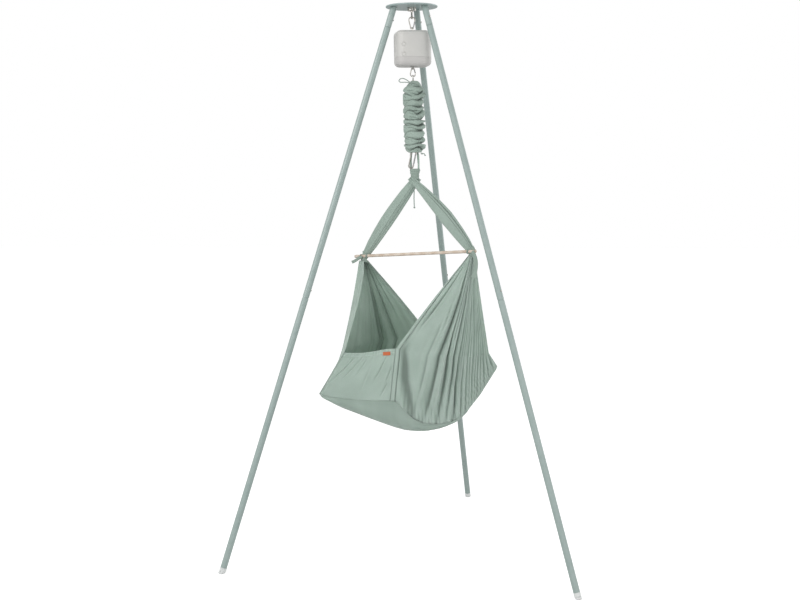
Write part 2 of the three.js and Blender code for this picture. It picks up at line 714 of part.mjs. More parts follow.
function snapLink(size) {
  const { wire, top, bottom, gate } = size;
  const { rise, lean, upper, lower } = linkOutline(size);
  const pivot = lower.clone().lerp(upper, GATE_STARTS_SHARE);
  const nose = lower.clone().lerp(upper, GATE_STARTS_SHARE + gate);
  const along = upper.clone().sub(lower).normalize();
  const heel = pivot.clone().addScaledVector(along, -wire - GAP);
  const path = new THREE.CurvePath();
  path.add(new THREE.LineCurve3(heel, lower));
  path.add(new ArcInPlane(bottom, bottom, -lean, -HALF_TURN + lean));
  const leftLow = new THREE.Vector3(-lower.x, 0, lower.z);
  const leftHigh = new THREE.Vector3(-upper.x, 0, upper.z);
  path.add(new THREE.LineCurve3(leftLow, leftHigh));
  path.add(new ArcInPlane(bottom + rise, top, HALF_TURN + lean, -lean));
  path.add(new THREE.LineCurve3(upper, nose));
  const body = swept(circleSection(wire, WIRE_SIDES), path, 30);
  const length = nose.distanceTo(pivot) - GAP;
  const bar = turned([
    [0, -wire],
    [wire * Math.SQRT1_2, -wire * Math.SQRT1_2],
    [wire, 0],
    [wire, length],
    [0, length],
  ], 8);
  bar.applyQuaternion(new THREE.Quaternion().setFromUnitVectors(new THREE.Vector3(0, 0, 1), along));
  bar.translate(pivot.x, pivot.y, pivot.z);
  return { body, bar, pivot };
}

function hangLink(name, size, bottomWireZ, parent) {
  const link = snapLink(size);
  const group = new THREE.Group();
  group.position.z = bottomWireZ;
  parent.add(group);
  node(name, link.body, finish.steel, group);
  node(`${name}_gate`, link.bar, finish.darkSteel, group);
  return { group, pivot: link.pivot };
}

const upperLink = hangLink('upper_link', UPPER_LINK, upperLinkBottomWireZ, chain);

// Drive unit: a shell in front and behind, a base cover, and the frame that carries the load
const drive = new THREE.Group();
drive.rotation.z = DRIVE_TURN;
chain.add(drive);
const housingMiddleZ = (housingTopZ + housingBottomZ) / 2;

function housingBlock(shrink) {
  const width = HOUSING_WIDTH - shrink * 2;
  const depth = HOUSING_DEPTH - shrink * 2;
  const height = HOUSING_HEIGHT - shrink * 2;
  const edge = HOUSING_EDGE - shrink;
  const shape = roundedRectangle(width - edge * 2, depth - edge * 2, HOUSING_CORNER - HOUSING_EDGE);
  return closed(new THREE.ExtrudeGeometry(shape, {
    depth: height - edge * 2,
    bevelEnabled: true,
    bevelThickness: edge,
    bevelSize: edge,
    bevelSegments: 3,
    curveSegments: 3,
  }).translate(0, 0, housingMiddleZ - height / 2 + edge));
}

const housingShell = cut(housingBlock(0), housingBlock(HOUSING_WALL));
const seamZ = housingBottomZ + HOUSING_SEAM_RISE;
const wide = HOUSING_WIDTH * 2;
const seamHalfGap = GAP / 2;
const abovePart = block(wide, wide, wide, 0, 0, seamZ + seamHalfGap + wide / 2);
const belowPart = block(wide, wide, wide, 0, 0, seamZ - seamHalfGap - wide / 2);
const frontPart = block(wide, wide, wide, 0, HOUSING_SPLIT_DEPTH - seamHalfGap - wide / 2, housingMiddleZ);
const rearPart = block(wide, wide, wide, 0, HOUSING_SPLIT_DEPTH + seamHalfGap + wide / 2, housingMiddleZ);
const buttonHoles = Object.values(DRIVE_BUTTON_PLACES).map((height) => (
  rod(DRIVE_BUTTON_RADIUS + DRIVE_BUTTON_CLEARANCE, 0, HOUSING_DEPTH, 20)
    .rotateX(RIGHT_ANGLE).translate(-DRIVE_BUTTON_OFFSET, 0, housingMiddleZ + height)
));
const eyeHole = rod(TOP_EYE_HOLE, housingMiddleZ, housingTopZ + CUT_OVERRUN, 20);
const rodMouth = rod(ROD_MOUTH_RADIUS, housingBottomZ - CUT_OVERRUN, housingMiddleZ, 20);
const socketZ = housingBottomZ + HOUSING_SEAM_RISE + HOUSING_HEIGHT * SOCKET_HEIGHT_SHARE;
const socketHole = rod(SOCKET_RADIUS + GAP, 0, HOUSING_DEPTH, 16).rotateX(-RIGHT_ANGLE).translate(
  HOUSING_WIDTH / 4, 0, socketZ);
node('drive_front_shell', cut(common(housingShell, abovePart, frontPart), eyeHole, ...buttonHoles),
  finish.housing, drive);
node('drive_rear_shell', cut(common(housingShell, abovePart, rearPart), eyeHole, socketHole),
  finish.housing, drive);
node('drive_base_cover', cut(common(housingShell, belowPart), rodMouth), finish.housingBase, drive);

// Each push button slides in its hole, with a flange behind the wall; the wall there is curved
function driveButton() {
  const x = HOUSING_WIDTH / 2 - DRIVE_BUTTON_OFFSET;
  const bend = Math.max(HOUSING_CORNER - x, 0);
  const wallY = HOUSING_DEPTH / 2 - HOUSING_CORNER + Math.sqrt(HOUSING_CORNER ** 2 - bend ** 2);
  const face = wallY - DRIVE_BUTTON_RECESS;
  const farBend = bend + DRIVE_BUTTON_FLANGE;
  const innerCorner = HOUSING_CORNER - HOUSING_WALL;
  const innerReach = Math.sqrt(innerCorner ** 2 - farBend ** 2);
  const flange = HOUSING_DEPTH / 2 - HOUSING_CORNER + innerReach - DRIVE_BUTTON_REST_GAP;
  return turned([
    [0, flange - DRIVE_BUTTON_STEM],
    [DRIVE_BUTTON_RADIUS / 2, flange - DRIVE_BUTTON_STEM],
    [DRIVE_BUTTON_RADIUS / 2, flange - HOUSING_WALL / 2],
    [DRIVE_BUTTON_FLANGE, flange - HOUSING_WALL / 2],
    [DRIVE_BUTTON_FLANGE, flange],
    [DRIVE_BUTTON_RADIUS, flange],
    [DRIVE_BUTTON_RADIUS, face - DRIVE_BUTTON_RECESS],
    [DRIVE_BUTTON_RADIUS - DRIVE_BUTTON_RECESS, face],
    [DRIVE_BUTTON_RADIUS / 2, face - DRIVE_BUTTON_RECESS],
    [0, face - DRIVE_BUTTON_RECESS],
  ], 16).rotateX(RIGHT_ANGLE);
}

Object.entries(DRIVE_BUTTON_PLACES).forEach(([place, height]) => {
  const button = node(`${place}_drive_button`, driveButton(), finish.housing, drive);
  button.position.set(-DRIVE_BUTTON_OFFSET, 0, housingMiddleZ + height);
});

// Frame: a steel sheet bent into a closed box, open at its two sides
const frameTopZ = housingTopZ - FRAME_TOP_DROP;
const frameBottomZ = housingBottomZ + FRAME_BOTTOM_RISE;
const shaftZ = housingMiddleZ;
const frameDepth = FRAME_BACK - FRAME_FRONT;
const frameHeight = frameTopZ - frameBottomZ;
const frameMiddleY = (FRAME_BACK + FRAME_FRONT) / 2;
const frameMiddleZ = (frameTopZ + frameBottomZ) / 2;
const frameSheet = cut(
  block(FRAME_WIDTH, frameDepth, frameHeight, FRAME_SHIFT, frameMiddleY, frameMiddleZ),
  block(FRAME_WIDTH * 2, frameDepth - FRAME_SHEET * 2, frameHeight - FRAME_SHEET * 2,
    0, frameMiddleY, frameMiddleZ),
);
const topEyeShank = TOP_EYE_HOLE - GAP * 2;
node('drive_frame', cut(
  frameSheet,
  rod(topEyeShank + GAP, frameTopZ - FRAME_SHEET * 2, frameTopZ + FRAME_SHEET),
  rod(ROD_RADIUS + ROD_CLEARANCE, frameBottomZ - FRAME_SHEET, frameBottomZ + FRAME_SHEET * 2),
  rod(CRANK_SHAFT_RADIUS + GAP, 0, HOUSING_DEPTH).rotateX(-RIGHT_ANGLE).translate(-CRANK_REACH, 0, shaftZ),
), finish.darkSteel, drive);

// Top eye: a hoop on a cap over the housing, with a shank held under the frame's top tab by its head
const capTop = housingTopZ + GAP + TOP_EYE_CAP;
const hoopPath = new THREE.CurvePath();
const hoopFoot = GAP + TOP_EYE_CAP / 2 - TOP_EYE_LEG;
hoopPath.add(new THREE.LineCurve3(new THREE.Vector3(-TOP_EYE_RADIUS, 0, hoopFoot),
  new THREE.Vector3(-TOP_EYE_RADIUS, 0, 0)));
hoopPath.add(new ArcInPlane(0, TOP_EYE_RADIUS, HALF_TURN, 0));
hoopPath.add(new THREE.LineCurve3(new THREE.Vector3(TOP_EYE_RADIUS, 0, 0),
  new THREE.Vector3(TOP_EYE_RADIUS, 0, hoopFoot)));
const hoop = swept(circleSection(TOP_EYE_WIRE, WIRE_SIDES), hoopPath, 16)
  .rotateZ(RIGHT_ANGLE).translate(0, 0, topEyeWireZ - TOP_EYE_RADIUS);
const topEye = joined(
  hoop,
  turned([
    [0, frameTopZ - FRAME_SHEET * 2 - GAP],
    [topEyeShank + FRAME_SHEET, frameTopZ - FRAME_SHEET * 2 - GAP],
    [topEyeShank + FRAME_SHEET, frameTopZ - FRAME_SHEET - GAP],
    [topEyeShank, frameTopZ - FRAME_SHEET - GAP],
    [topEyeShank, housingTopZ + GAP],
    [TOP_EYE_CAP_RADIUS, housingTopZ + GAP],
    [TOP_EYE_CAP_RADIUS, capTop - TOP_EYE_CAP / 2],
    [TOP_EYE_CAP_RADIUS - TOP_EYE_CAP / 2, capTop],
    [0, capTop],
  ], 20),
);
node('drive_top_eye', topEye, finish.steel, chain);

// Gear motor on the back of the frame, with a bore for the crank's shaft
const gearboxFront = FRAME_BACK + GAP;
const gearboxBack = gearboxFront + GEARBOX_LENGTH;
const gearbox = rod(GEARBOX_RADIUS, gearboxFront, gearboxBack, 20).translate(GEAR_SHIFT / 2, 0, 0);
const motorCan = roundedRod(MOTOR_CAN_RADIUS, gearboxBack - MOTOR_CAN_ROUND / 2,
  gearboxBack + MOTOR_CAN_LENGTH, MOTOR_CAN_ROUND, 16).translate(GEAR_SHIFT, 0, 0);
const shaftBore = rod(CRANK_SHAFT_RADIUS + GAP, gearboxFront - CUT_OVERRUN, gearboxFront + GEARBOX_LENGTH / 2);
const gearMotor = cut(joined(gearbox, motorCan), shaftBore)
  .rotateX(-RIGHT_ANGLE).translate(-CRANK_REACH, 0, shaftZ);
node('gear_motor', gearMotor, finish.darkSteel, drive);

// Crank: a lever on the shaft, with a slot at its tip for the rod's pin
const crankBack = FRAME_BACK - FRAME_SHEET - GAP;
const crankFront = crankBack - CRANK_THICKNESS;
const slotHalf = ROD_PIN_RADIUS + CRANK_SLOT_PLAY;

function capsule(half, stretch) {
  const shape = new THREE.Shape();
  shape.absarc(stretch, 0, half, -RIGHT_ANGLE, RIGHT_ANGLE);
  shape.absarc(-stretch, 0, half, RIGHT_ANGLE, HALF_TURN + RIGHT_ANGLE);
  return shape;
}

function crankOutline() {
  const lean = Math.asin((CRANK_HUB_RADIUS - CRANK_TIP_RADIUS) / CRANK_REACH);
  const shape = new THREE.Shape();
  shape.absarc(0, 0, CRANK_HUB_RADIUS, RIGHT_ANGLE - lean, FULL_TURN - RIGHT_ANGLE + lean);
  shape.absarc(CRANK_REACH, 0, CRANK_TIP_RADIUS, -RIGHT_ANGLE + lean, RIGHT_ANGLE - lean);
  const slot = new THREE.Path(capsule(slotHalf, CRANK_SLOT_STRETCH_SHARE).getPoints(6).map((point) => (
    new THREE.Vector2(point.x + CRANK_REACH, point.y))));
  shape.holes.push(slot);
  return shape;
}

const crankPlate = closed(new THREE.ExtrudeGeometry(crankOutline(), {
  depth: CRANK_THICKNESS, bevelEnabled: false, curveSegments: 10,
}).rotateX(RIGHT_ANGLE).translate(-CRANK_REACH, crankBack, shaftZ));
const crankShaft = rod(CRANK_SHAFT_RADIUS, crankBack - CRANK_THICKNESS / 2, gearboxFront + GEARBOX_LENGTH / 3)
  .rotateX(-RIGHT_ANGLE).translate(-CRANK_REACH, 0, shaftZ);
node('crank_arm', joined(crankPlate, crankShaft), finish.steel, drive);

// Pull rod: its head carries the pin, its eye hangs below the base cover
const headZ = shaftZ;
const pinBack = crankBack - GAP;
const rodHeadFront = -ROD_HEAD_DEPTH / 2;
const rodHeadBack = Math.min(ROD_HEAD_DEPTH / 2, crankFront - GAP);
const rodHeadMiddle = (rodHeadBack + rodHeadFront) / 2;
const rodHead = block(ROD_HEAD, rodHeadBack - rodHeadFront, ROD_HEAD, 0, rodHeadMiddle, headZ);
const rodPin = rod(ROD_PIN_RADIUS, 0, pinBack, 12).rotateX(-RIGHT_ANGLE).translate(0, 0, headZ);
const rodEye = ring(ROD_EYE_RADIUS, RING_WIRE).rotateZ(RIGHT_ANGLE - DRIVE_TURN)
  .translate(0, 0, rodEyeWireZ + ROD_EYE_RADIUS);
const pullRod = joined(
  rodHead,
  rodPin,
  rod(ROD_RADIUS, rodEyeWireZ + ROD_EYE_RADIUS * 2, headZ, 16),
  rodEye,
);
node('pull_rod', pullRod, finish.steel, drive);

// Control board behind the buttons, and the power socket in the rear shell
const boardX = -HOUSING_WIDTH / 2 + HOUSING_WALL + GAP + BOARD_THICKNESS / 2;
node('control_board', block(BOARD_THICKNESS, BOARD_DEPTH, BOARD_HEIGHT, boardX, 0, housingMiddleZ),
  finish.board, drive);
const socketBack = HOUSING_DEPTH / 2;
const powerSocket = turned([
  [0, socketBack - SOCKET_DEPTH],
  [SOCKET_RADIUS, socketBack - SOCKET_DEPTH],
  [SOCKET_RADIUS, socketBack],
  [SOCKET_BORE, socketBack],
  [SOCKET_BORE, socketBack - SOCKET_DEPTH + HOUSING_WALL],
  [0, socketBack - SOCKET_DEPTH + HOUSING_WALL],
], 16).rotateX(-RIGHT_ANGLE);
const socketMesh = node('power_socket', powerSocket, finish.blackPlastic, drive);
socketMesh.position.set(HOUSING_WIDTH / 4, 0, socketZ);

const lowerLink = hangLink('lower_link', LOWER_LINK, lowerLinkBottomWireZ, chain);

// Spring eyes: each has a wire eye, a stem and a plug with a flange that seats in the end coils
function springPlug(flangeZ, way, stemEnd) {
  const mirror = (profile) => profile.map(([radius, height]) => [radius, flangeZ + way * height]);
  return turned(mirror([
    [0, -SPRING_PLUG_LENGTH],
    [SPRING_PLUG_RADIUS * 0.8, -SPRING_PLUG_LENGTH],
    [SPRING_PLUG_RADIUS, -SPRING_PLUG_LENGTH * 0.8],
    [SPRING_PLUG_RADIUS, CONTACT],
    [SPRING_FLANGE_RADIUS, CONTACT],
    [SPRING_FLANGE_RADIUS, CONTACT + SPRING_FLANGE_THICKNESS],
    [SPRING_STEM_RADIUS, CONTACT + SPRING_FLANGE_THICKNESS * 2],
    [SPRING_STEM_RADIUS, stemEnd],
    [0, stemEnd],
  ]), 20);
}

node('spring_top_eye', joined(
  ring(SPRING_RING_RADIUS, RING_WIRE).rotateZ(RIGHT_ANGLE).translate(0, 0, springRingZ),
  springPlug(springTopZ, 1, SPRING_NECK),
), finish.steel, chain);
node('spring_bottom_eye', joined(
  deltaEye(LOWER_EYE).translate(0, 0, lowerEyeWireZ),
  springPlug(springBottomZ, -1, SPRING_FLANGE_THICKNESS * 2 + LOWER_EYE.wire),
), finish.steel, chain);

// Coil spring: one unbroken tube on a helix, its ends square to the flanges
function springPoint(share) {
  const angle = FULL_TURN * SPRING_COILS * share;
  const rise = SPRING_BODY - SPRING_WIRE * 2;
  return new THREE.Vector3(SPRING_RADIUS * Math.cos(angle), SPRING_RADIUS * Math.sin(angle),
    springBottomZ + SPRING_WIRE + rise * share);
}

function springRings() {
  const steps = SPRING_COILS * SPRING_STEPS_PER_COIL;
  const rings = [];
  for (let i = 0; i <= steps; i += 1) {
    const centre = springPoint(i / steps);
    const out = new THREE.Vector3(centre.x, centre.y, 0).normalize();
    const up = new THREE.Vector3(0, 0, 1);
    rings.push([...Array(SPRING_SIDES).keys()].map((k) => {
      const angle = FULL_TURN * k / SPRING_SIDES;
      return centre.clone()
        .addScaledVector(out, SPRING_WIRE * Math.cos(angle))
        .addScaledVector(up, SPRING_WIRE * Math.sin(angle));
    }));
  }
  return rings;
}

function leastSpringGap() {
  const steps = SPRING_COILS * SPRING_STEPS_PER_COIL;
  const points = [...Array(steps + 1).keys()].map((i) => springPoint(i / steps));
  let least = Infinity;
  points.forEach((here, i) => {
    points.slice(i + SPRING_STEPS_PER_COIL / 2).forEach((there) => {
      least = Math.min(least, here.distanceTo(there) - SPRING_WIRE * 2);
    });
  });
  return least;
}

console.log(`least gap between spring coils ${leastSpringGap().toFixed(2)}`);
node('coil_spring', skinned(springRings(), false), finish.steel, chain);

// Ruched cover: a gathered sleeve whose folds run round it, drawn in at the neck
const coverTopZ = springRingZ - SPRING_RING_RADIUS - RING_WIRE - CONTACT;
const coverMouthZ = coverTopZ - COVER_LENGTH;
const coverNeck = SPRING_STEM_RADIUS + GAP + COVER_WALL;

function coverRadius(share, angle) {
  const shoulder = Math.min(share * COVER_LENGTH / COVER_SHOULDER, 1);
  const swell = (shoulder + Math.sin(shoulder * RIGHT_ANGLE)) / 2;
  const full = coverNeck + (COVER_RADIUS - coverNeck) * swell;
  const mouth = THREE.MathUtils.smoothstep(share, 0.9, 1) * (COVER_RADIUS - COVER_MOUTH_RADIUS);
  const wobble = Math.sin(angle * 2 + share * 19) * 0.35 + Math.sin(angle * 3 - share * 31) * 0.25;
  const ruffle = Math.cos(FULL_TURN * (COVER_RUFFLES * share + wobble * 0.4));
  return full - mouth + COVER_RUFFLE_DEPTH * ruffle * Math.min(1, shoulder) * (0.75 + wobble * 0.4);
}

function coverRings() {
  const steps = COVER_RUFFLES * 2;
  const around = 15;
  const wall = (inset) => [...Array(steps + 1).keys()].map((row) => {
    const share = row / steps;
    const z = coverTopZ - COVER_LENGTH * share;
    return [...Array(around).keys()].map((k) => {
      const angle = FULL_TURN * k / around;
      const radius = coverRadius(share, angle) - inset;
      return new THREE.Vector3(radius * Math.cos(angle), radius * Math.sin(angle), z);
    });
  });
  return [...wall(0), ...wall(COVER_WALL).reverse()];
}

node('spring_cover', skinned(coverRings(), true), finish.sageCloth, chain);

// Drawstrings of the cover: hand-laid routes from a knot, each one length of cord
const TOP_BOW = [
  [-6, -19.3, -9],
  [-14, -19.3, -4],
  [-24, -19.3, 3],
  [-36, -19.3, 7],
  [-45, -19.3, 4],
  [-48, -19.3, -3],
  [-40, -19.3, -6],
  [-26, -19.3, -6],
  [-14, -20.3, -8],
];
const TOP_TAIL = [
  [-6, -19.3, -9],
  [4, -21.3, -10],
  [15, -22.3, -14],
  [26, -22.3, -22],
  [36, -20.3, -34],
  [40, -17.3, -46],
];
const LOWER_TAIL = [[25, -14, -4.5], [29, -15, -4.2], [32.5, -16, -5], [35, -16.6, -7.4], [36, -17, -10.5]];

function cordAlong(points, base, radius, sides, steps) {
  return swept(circleSection(radius, sides), smooth(points.map(([x, y, z]) => [x, y, base + z])), steps);
}

function cordKnot([x, y, z], base) {
  return new THREE.SphereGeometry(KNOT_RADIUS, 8, 6).translate(x, y, base + z);
}

node('top_drawstring', joined(
  cordAlong(TOP_BOW, coverTopZ, DRAWSTRING_RADIUS, 6, 22),
  cordAlong(TOP_TAIL, coverTopZ, DRAWSTRING_RADIUS, 6, 8),
  cordKnot(TOP_BOW[0], coverTopZ),
), finish.cord, chain);
node('lower_drawstring', joined(
  cordAlong(LOWER_TAIL, coverMouthZ, DRAWSTRING_RADIUS, 6, 8),
  cordKnot(LOWER_TAIL[0], coverMouthZ),
), finish.cord, chain);

// Cradle: hangs on the lower eye by a cloth loop, with a snap link beside it
const hangingZ = lowerEyeWireZ;
const loopTopZ = hangingZ + LOWER_EYE.wire + CONTACT + LOOP_THICKNESS / 2;
const wrapTopZ = hangingZ - APEX_DROP + WRAP_HEIGHT;
const loopRadius = loopTopZ - hangingZ;
const limbRise = hangingZ - wrapTopZ;
const limb = [
  [LOOP_HALF_WIDTH, 0, wrapTopZ + CONTACT],
  [LOOP_HALF_WIDTH, 0, wrapTopZ + limbRise * 0.35],
  [LOOP_HALF_WIDTH * 0.9, 0, wrapTopZ + limbRise * 0.75],
  [loopRadius * 1.04, 0, hangingZ - loopRadius * 0.2],
  [loopRadius * 0.8, 0, hangingZ + loopRadius * 0.65],
];
const loopCurve = smooth([
  ...limb.map(([x, y, z]) => [-x, y, z]),
  [0, 0, loopTopZ],
  ...limb.reverse(),
]);
node('hanging_loop', swept(ovalSection(LOOP_WIDTH / 2, LOOP_THICKNESS / 2, 8), loopCurve, 22)
  .translate(0, LOOP_OFFSET, 0), finish.sageCloth, chain);

const cradleLink = hangLink('cradle_link', CRADLE_LINK, 0, chain);
const linkDrop = CRADLE_LINK.height - CRADLE_LINK.wire * 2 - LOWER_EYE.wire - CONTACT - CRADLE_LINK.wire;
const linkBottomX = linkDrop * Math.sin(CRADLE_LINK_LEAN);
const linkBottomZ = hangingZ - linkDrop * Math.cos(CRADLE_LINK_LEAN);
cradleLink.group.rotation.y = -CRADLE_LINK_LEAN;
cradleLink.group.position.set(linkBottomX, -CRADLE_LINK_OFFSET, linkBottomZ);

// Cradle frame: X (U) runs along the bar with its right end nearer, Y (V) to the far side
const sling = new THREE.Group();
sling.rotation.z = CRADLE_TURN;
sling.position.z = hangingZ - APEX_DROP - APEX_Z;
chain.add(sling);

// Wrap that binds the crossing straps under the loop
function wrapRings() {
  const around = 18;
  return WRAP_PROFILE_SHARES.map(([rise, share]) => [...Array(around).keys()].map((k) => {
    const angle = FULL_TURN * k / around;
    const radius = WRAP_RADIUS * share;
    return new THREE.Vector3(radius * Math.cos(angle), radius * WRAP_DEPTH_SHARE * Math.sin(angle),
      APEX_Z + WRAP_HEIGHT * rise);
  }));
}

node('loop_wrap', skinned(wrapRings(), false).rotateZ(-CRADLE_TURN), finish.shadeCloth, sling);

// Spreader bar and its tie sleeves, in the bar's own frame with Z along it
const barRise = RIGHT_KNOT_Z - LEFT_KNOT_Z;
const barTilt = Math.atan2(barRise, KNOT_REACH * 2);
const barMiddleZ = (RIGHT_KNOT_Z + LEFT_KNOT_Z) / 2;

function alongBar(geometry, u) {
  return geometry.rotateY(RIGHT_ANGLE - barTilt).translate(u, 0, barMiddleZ + u * Math.tan(barTilt));
}

const barRod = roundedRod(BAR_RADIUS, -BAR_LENGTH / 2, BAR_LENGTH / 2, BAR_END_ROUND, 16);
node('spreader_bar', alongBar(barRod, BAR_SHIFT), finish.beech, sling);

function tieSleeve(grow) {
  const half = TIE_LENGTH / 2 + grow;
  const radius = TIE_RADIUS + grow;
  const waist = TIE_WAIST + grow;
  return [[0, -half], [waist, -half], [radius, -half * 0.55], [radius * 0.94, 0], [radius, half * 0.55],
    [waist, half], [0, half]];
}

// A flat ribbon tail hanging beside the sleeve
function ribbonTail(points, width) {
  const path = smooth(points);
  const rows = 9;
  const grid = [];
  for (let row = 0; row < rows; row += 1) {
    const centre = path.getPointAt(row / (rows - 1));
    const half = width / 2 * (row === 0 ? 0.5 : 1);
    grid.push([-half, 0, half].map((offset) => centre.clone().add(new THREE.Vector3(offset, 0, 0))));
  }
  return sheet(grid, RIBBON_THICKNESS, false);
}

function tieAt(u, points, width) {
  const knotZ = barMiddleZ + u * Math.tan(barTilt);
  const tail = ribbonTail(points.map(([x, y, z]) => [u + x, -TIE_RADIUS + y, knotZ + z]), width);
  const bore = alongBar(rod(BAR_RADIUS + GAP, -TIE_LENGTH, TIE_LENGTH, 16), u);
  return cut(joined(alongBar(turned(tieSleeve(0), 16), u), tail), bore);
}

node('left_bar_tie', tieAt(-KNOT_REACH, LEFT_RIBBON, RIBBON_WIDTH * 0.7), finish.shadeCloth, sling);
node('right_bar_tie', tieAt(KNOT_REACH, RIGHT_RIBBON, RIBBON_WIDTH), finish.shadeCloth, sling);

// Largest body left after a cut, for cloth trimmed at its ties
function largest(geometry) {
  const bodies = solidOf(geometry).decompose().sort((one, other) => other.volume() - one.volume());
  return geometryOf(bodies[0]);
}

// Straps: flat cloth folded lengthwise, from each sleeve to the wrap, crossing at the top
function strap(side, widthAtBar, bow) {
  const base = new THREE.Vector3(side * KNOT_REACH, 0, barMiddleZ + side * KNOT_REACH * Math.tan(barTilt));
  const crossing = new THREE.Vector3(APEX_SHIFT - side * STRAP_CROSS, -side * STRAP_OFFSET, APEX_Z);
  const run = crossing.clone().sub(base);
  const across = new THREE.Vector3(run.z, 0, -run.x).normalize();
  const rows = 11;
  const columns = 7;
  const grid = [];
  for (let row = 0; row < rows; row += 1) {
    const share = row / (rows - 1) * 1.06;
    const bulge = Math.sin(Math.min(share, 1) * HALF_TURN);
    const ends = THREE.MathUtils.lerp(widthAtBar, STRAP_WIDTH_TOP, Math.min(share, 1));
    const half = (ends + (STRAP_WIDTH_MIDDLE - ends) * bulge) / 2;
    const centre = base.clone().addScaledVector(run, share).addScaledVector(across, side * bow * bulge);
    grid.push([...Array(columns).keys()].map((column) => {
      const place = column / (columns - 1) * 2 - 1;
      const fold = Math.cos(place * STRAP_FOLDS * HALF_TURN + side * 0.6) * STRAP_FOLD_DEPTH / 2;
      return centre.clone().addScaledVector(across, half * place)
        .add(new THREE.Vector3(0, fold * (0.55 + 0.45 * bulge), 0));
    }));
  }
  const above = block(KNOT_REACH, KNOT_REACH, KNOT_REACH, 0, 0, APEX_Z - GAP + KNOT_REACH / 2);
  const sleeve = alongBar(turned(tieSleeve(GAP), 20), side * KNOT_REACH);
  const bar = alongBar(rod(BAR_RADIUS + GAP, -BAR_LENGTH, BAR_LENGTH, 16), 0);
  return largest(cut(sheet(grid, STRAP_THICKNESS, false), above, sleeve, bar));
}

node('left_strap', strap(-1, STRAP_WIDTH_BOTTOM, LEFT_STRAP_BOW), finish.sageCloth, sling);
node('right_strap', strap(1, STRAP_WIDTH_BOTTOM * 1.25, RIGHT_STRAP_BOW), finish.sageCloth, sling);

// Short string that hangs under the wrap, between the straps
const stringTopZ = APEX_Z - GAP;
const string = roundedRod(STRING_RADIUS, stringTopZ - STRING_DROP, stringTopZ, STRING_RADIUS / 2, 10);
node('hanging_string', string.translate(APEX_SHIFT, 0, 0), finish.cord, sling);

// Loops of the cloth body: P runs 0 to 1 on the near side, 1 to 2 on the right end,
// 2 to 3 on the far side and 3 to 4 on the left end, from corner to corner
function loopPoint(p, left, right, half, corners) {
  const side = Math.floor(p) % 4;
  const share = p - Math.floor(p);
  const lengths = [right - left, half * 2, right - left, half * 2];
  const starts = [[left, -half], [right, -half], [right, half], [left, half]];
  const ways = [[1, 0], [0, 1], [-1, 0], [0, -1]];
  const [first, second] = [corners[side], corners[(side + 1) % 4]];
  const length = lengths[side];
  const firstArc = first * Math.PI / 4;
  const secondArc = second * Math.PI / 4;
  const straight = length - first - second;
  const travel = share * (firstArc + straight + secondArc);
  let along = first + travel - firstArc;
  let inward = 0;
  if (travel < firstArc) {
    const angle = Math.PI / 4 - travel / first;
    along = first - first * Math.sin(angle);
    inward = first - first * Math.cos(angle);
  } else if (travel > firstArc + straight) {
    const angle = (travel - firstArc - straight) / second;
    along = length - second + second * Math.sin(angle);
    inward = second - second * Math.cos(angle);
  }
  const [wayU, wayV] = ways[side];
  return [starts[side][0] + wayU * along - wayV * inward, starts[side][1] + wayV * along + wayU * inward];
}

function rimHeight(p) {
  const side = Math.floor(p) % 4;
  const share = p - Math.floor(p);
  const level = THREE.MathUtils.lerp(RIM_HEIGHTS[side], RIM_HEIGHTS[(side + 1) % 4], share);
  return side % 2 === 0 ? level - RIM_SWAY * Math.sin(Math.PI * (2 * share - 1)) : level;
}

// The seam between the tray and the cloths is straight from one station to the next
const NEAR_STATION_SHARES = [0, 0.02, 0.038, 0.15, 0.28, 0.4];
const END_STATION_SHARES = [
  0.54, 0.62, 0.71, 0.8, 0.87, 0.92, 0.96, 1, 1.06, 1.12, 1.18, 1.3, 1.45, 1.6, 1.75, 1.88, 1.943, 1.97,
];
const halfStations = [...NEAR_STATION_SHARES, ...END_STATION_SHARES];
const rimStations = [...halfStations, ...halfStations.map((place) => place + 2)];

function rimStation(p) {
  const [u, v] = loopPoint(p, RIM_LEFT, RIM_RIGHT, RIM_HALF_WIDTH, RIM_CORNERS);
  return new THREE.Vector3(u, v, rimHeight(p));
}

function rim(p) {
  const place = p % 4;
  const after = rimStations.findIndex((station) => station > place);
  const next = after < 0 ? rimStations.length : after;
  const from = rimStations[next - 1];
  const to = next === rimStations.length ? 4 : rimStations[next];
  return rimStation(from).lerp(rimStation(to), (place - from) / (to - from));
}

// Places along one cloth, each stretch between two stations split evenly
function placesBetween(firstP, lastP, splits) {
  const inside = rimStations.filter((station) => station > firstP && station < lastP);
  const stops = [firstP, ...inside, lastP];
  const places = stops.slice(0, -1).flatMap((stop, i) => (
    [...Array(splits).keys()].map((k) => THREE.MathUtils.lerp(stop, stops[i + 1], k / splits))));
  return [...places, lastP];
}

function waistHeight(p) {
  const hem = [CLOTH_SEAM_SHARE, 2 + CLOTH_SEAM_SHARE];
  const hemZ = (from, to) => THREE.MathUtils.lerp(from, to, CLOTH_SEAM_SHARE) + WAIST_HEM_RISE;
  const [nearLeft, nearRight, farRight, farLeft] = WAIST_HEIGHTS;
  const stops = [[0, nearLeft], [hem[0], hemZ(nearLeft, nearRight)], [1, nearRight], [2, farRight],
    [hem[1], hemZ(farRight, farLeft)], [3, farLeft], [4, nearLeft]];
  const next = Math.max(stops.findIndex(([place]) => place > p), 1);
  const [[from, low], [to, high]] = [stops[next - 1], stops[next]];
  const travel = ((p - from) / (to - from)) ** (high > low ? HEM_LATENESS_SHARE : 1 / HEM_LATENESS_SHARE);
  return THREE.MathUtils.lerp(low, high, (1 - Math.cos(Math.PI * travel)) / 2);
}

function waist(p) {
  const [u, v] = loopPoint(p, WAIST_LEFT, WAIST_RIGHT, WAIST_HALF_WIDTH, WAIST_CORNERS);
  return new THREE.Vector3(u, v, waistHeight(p));
}

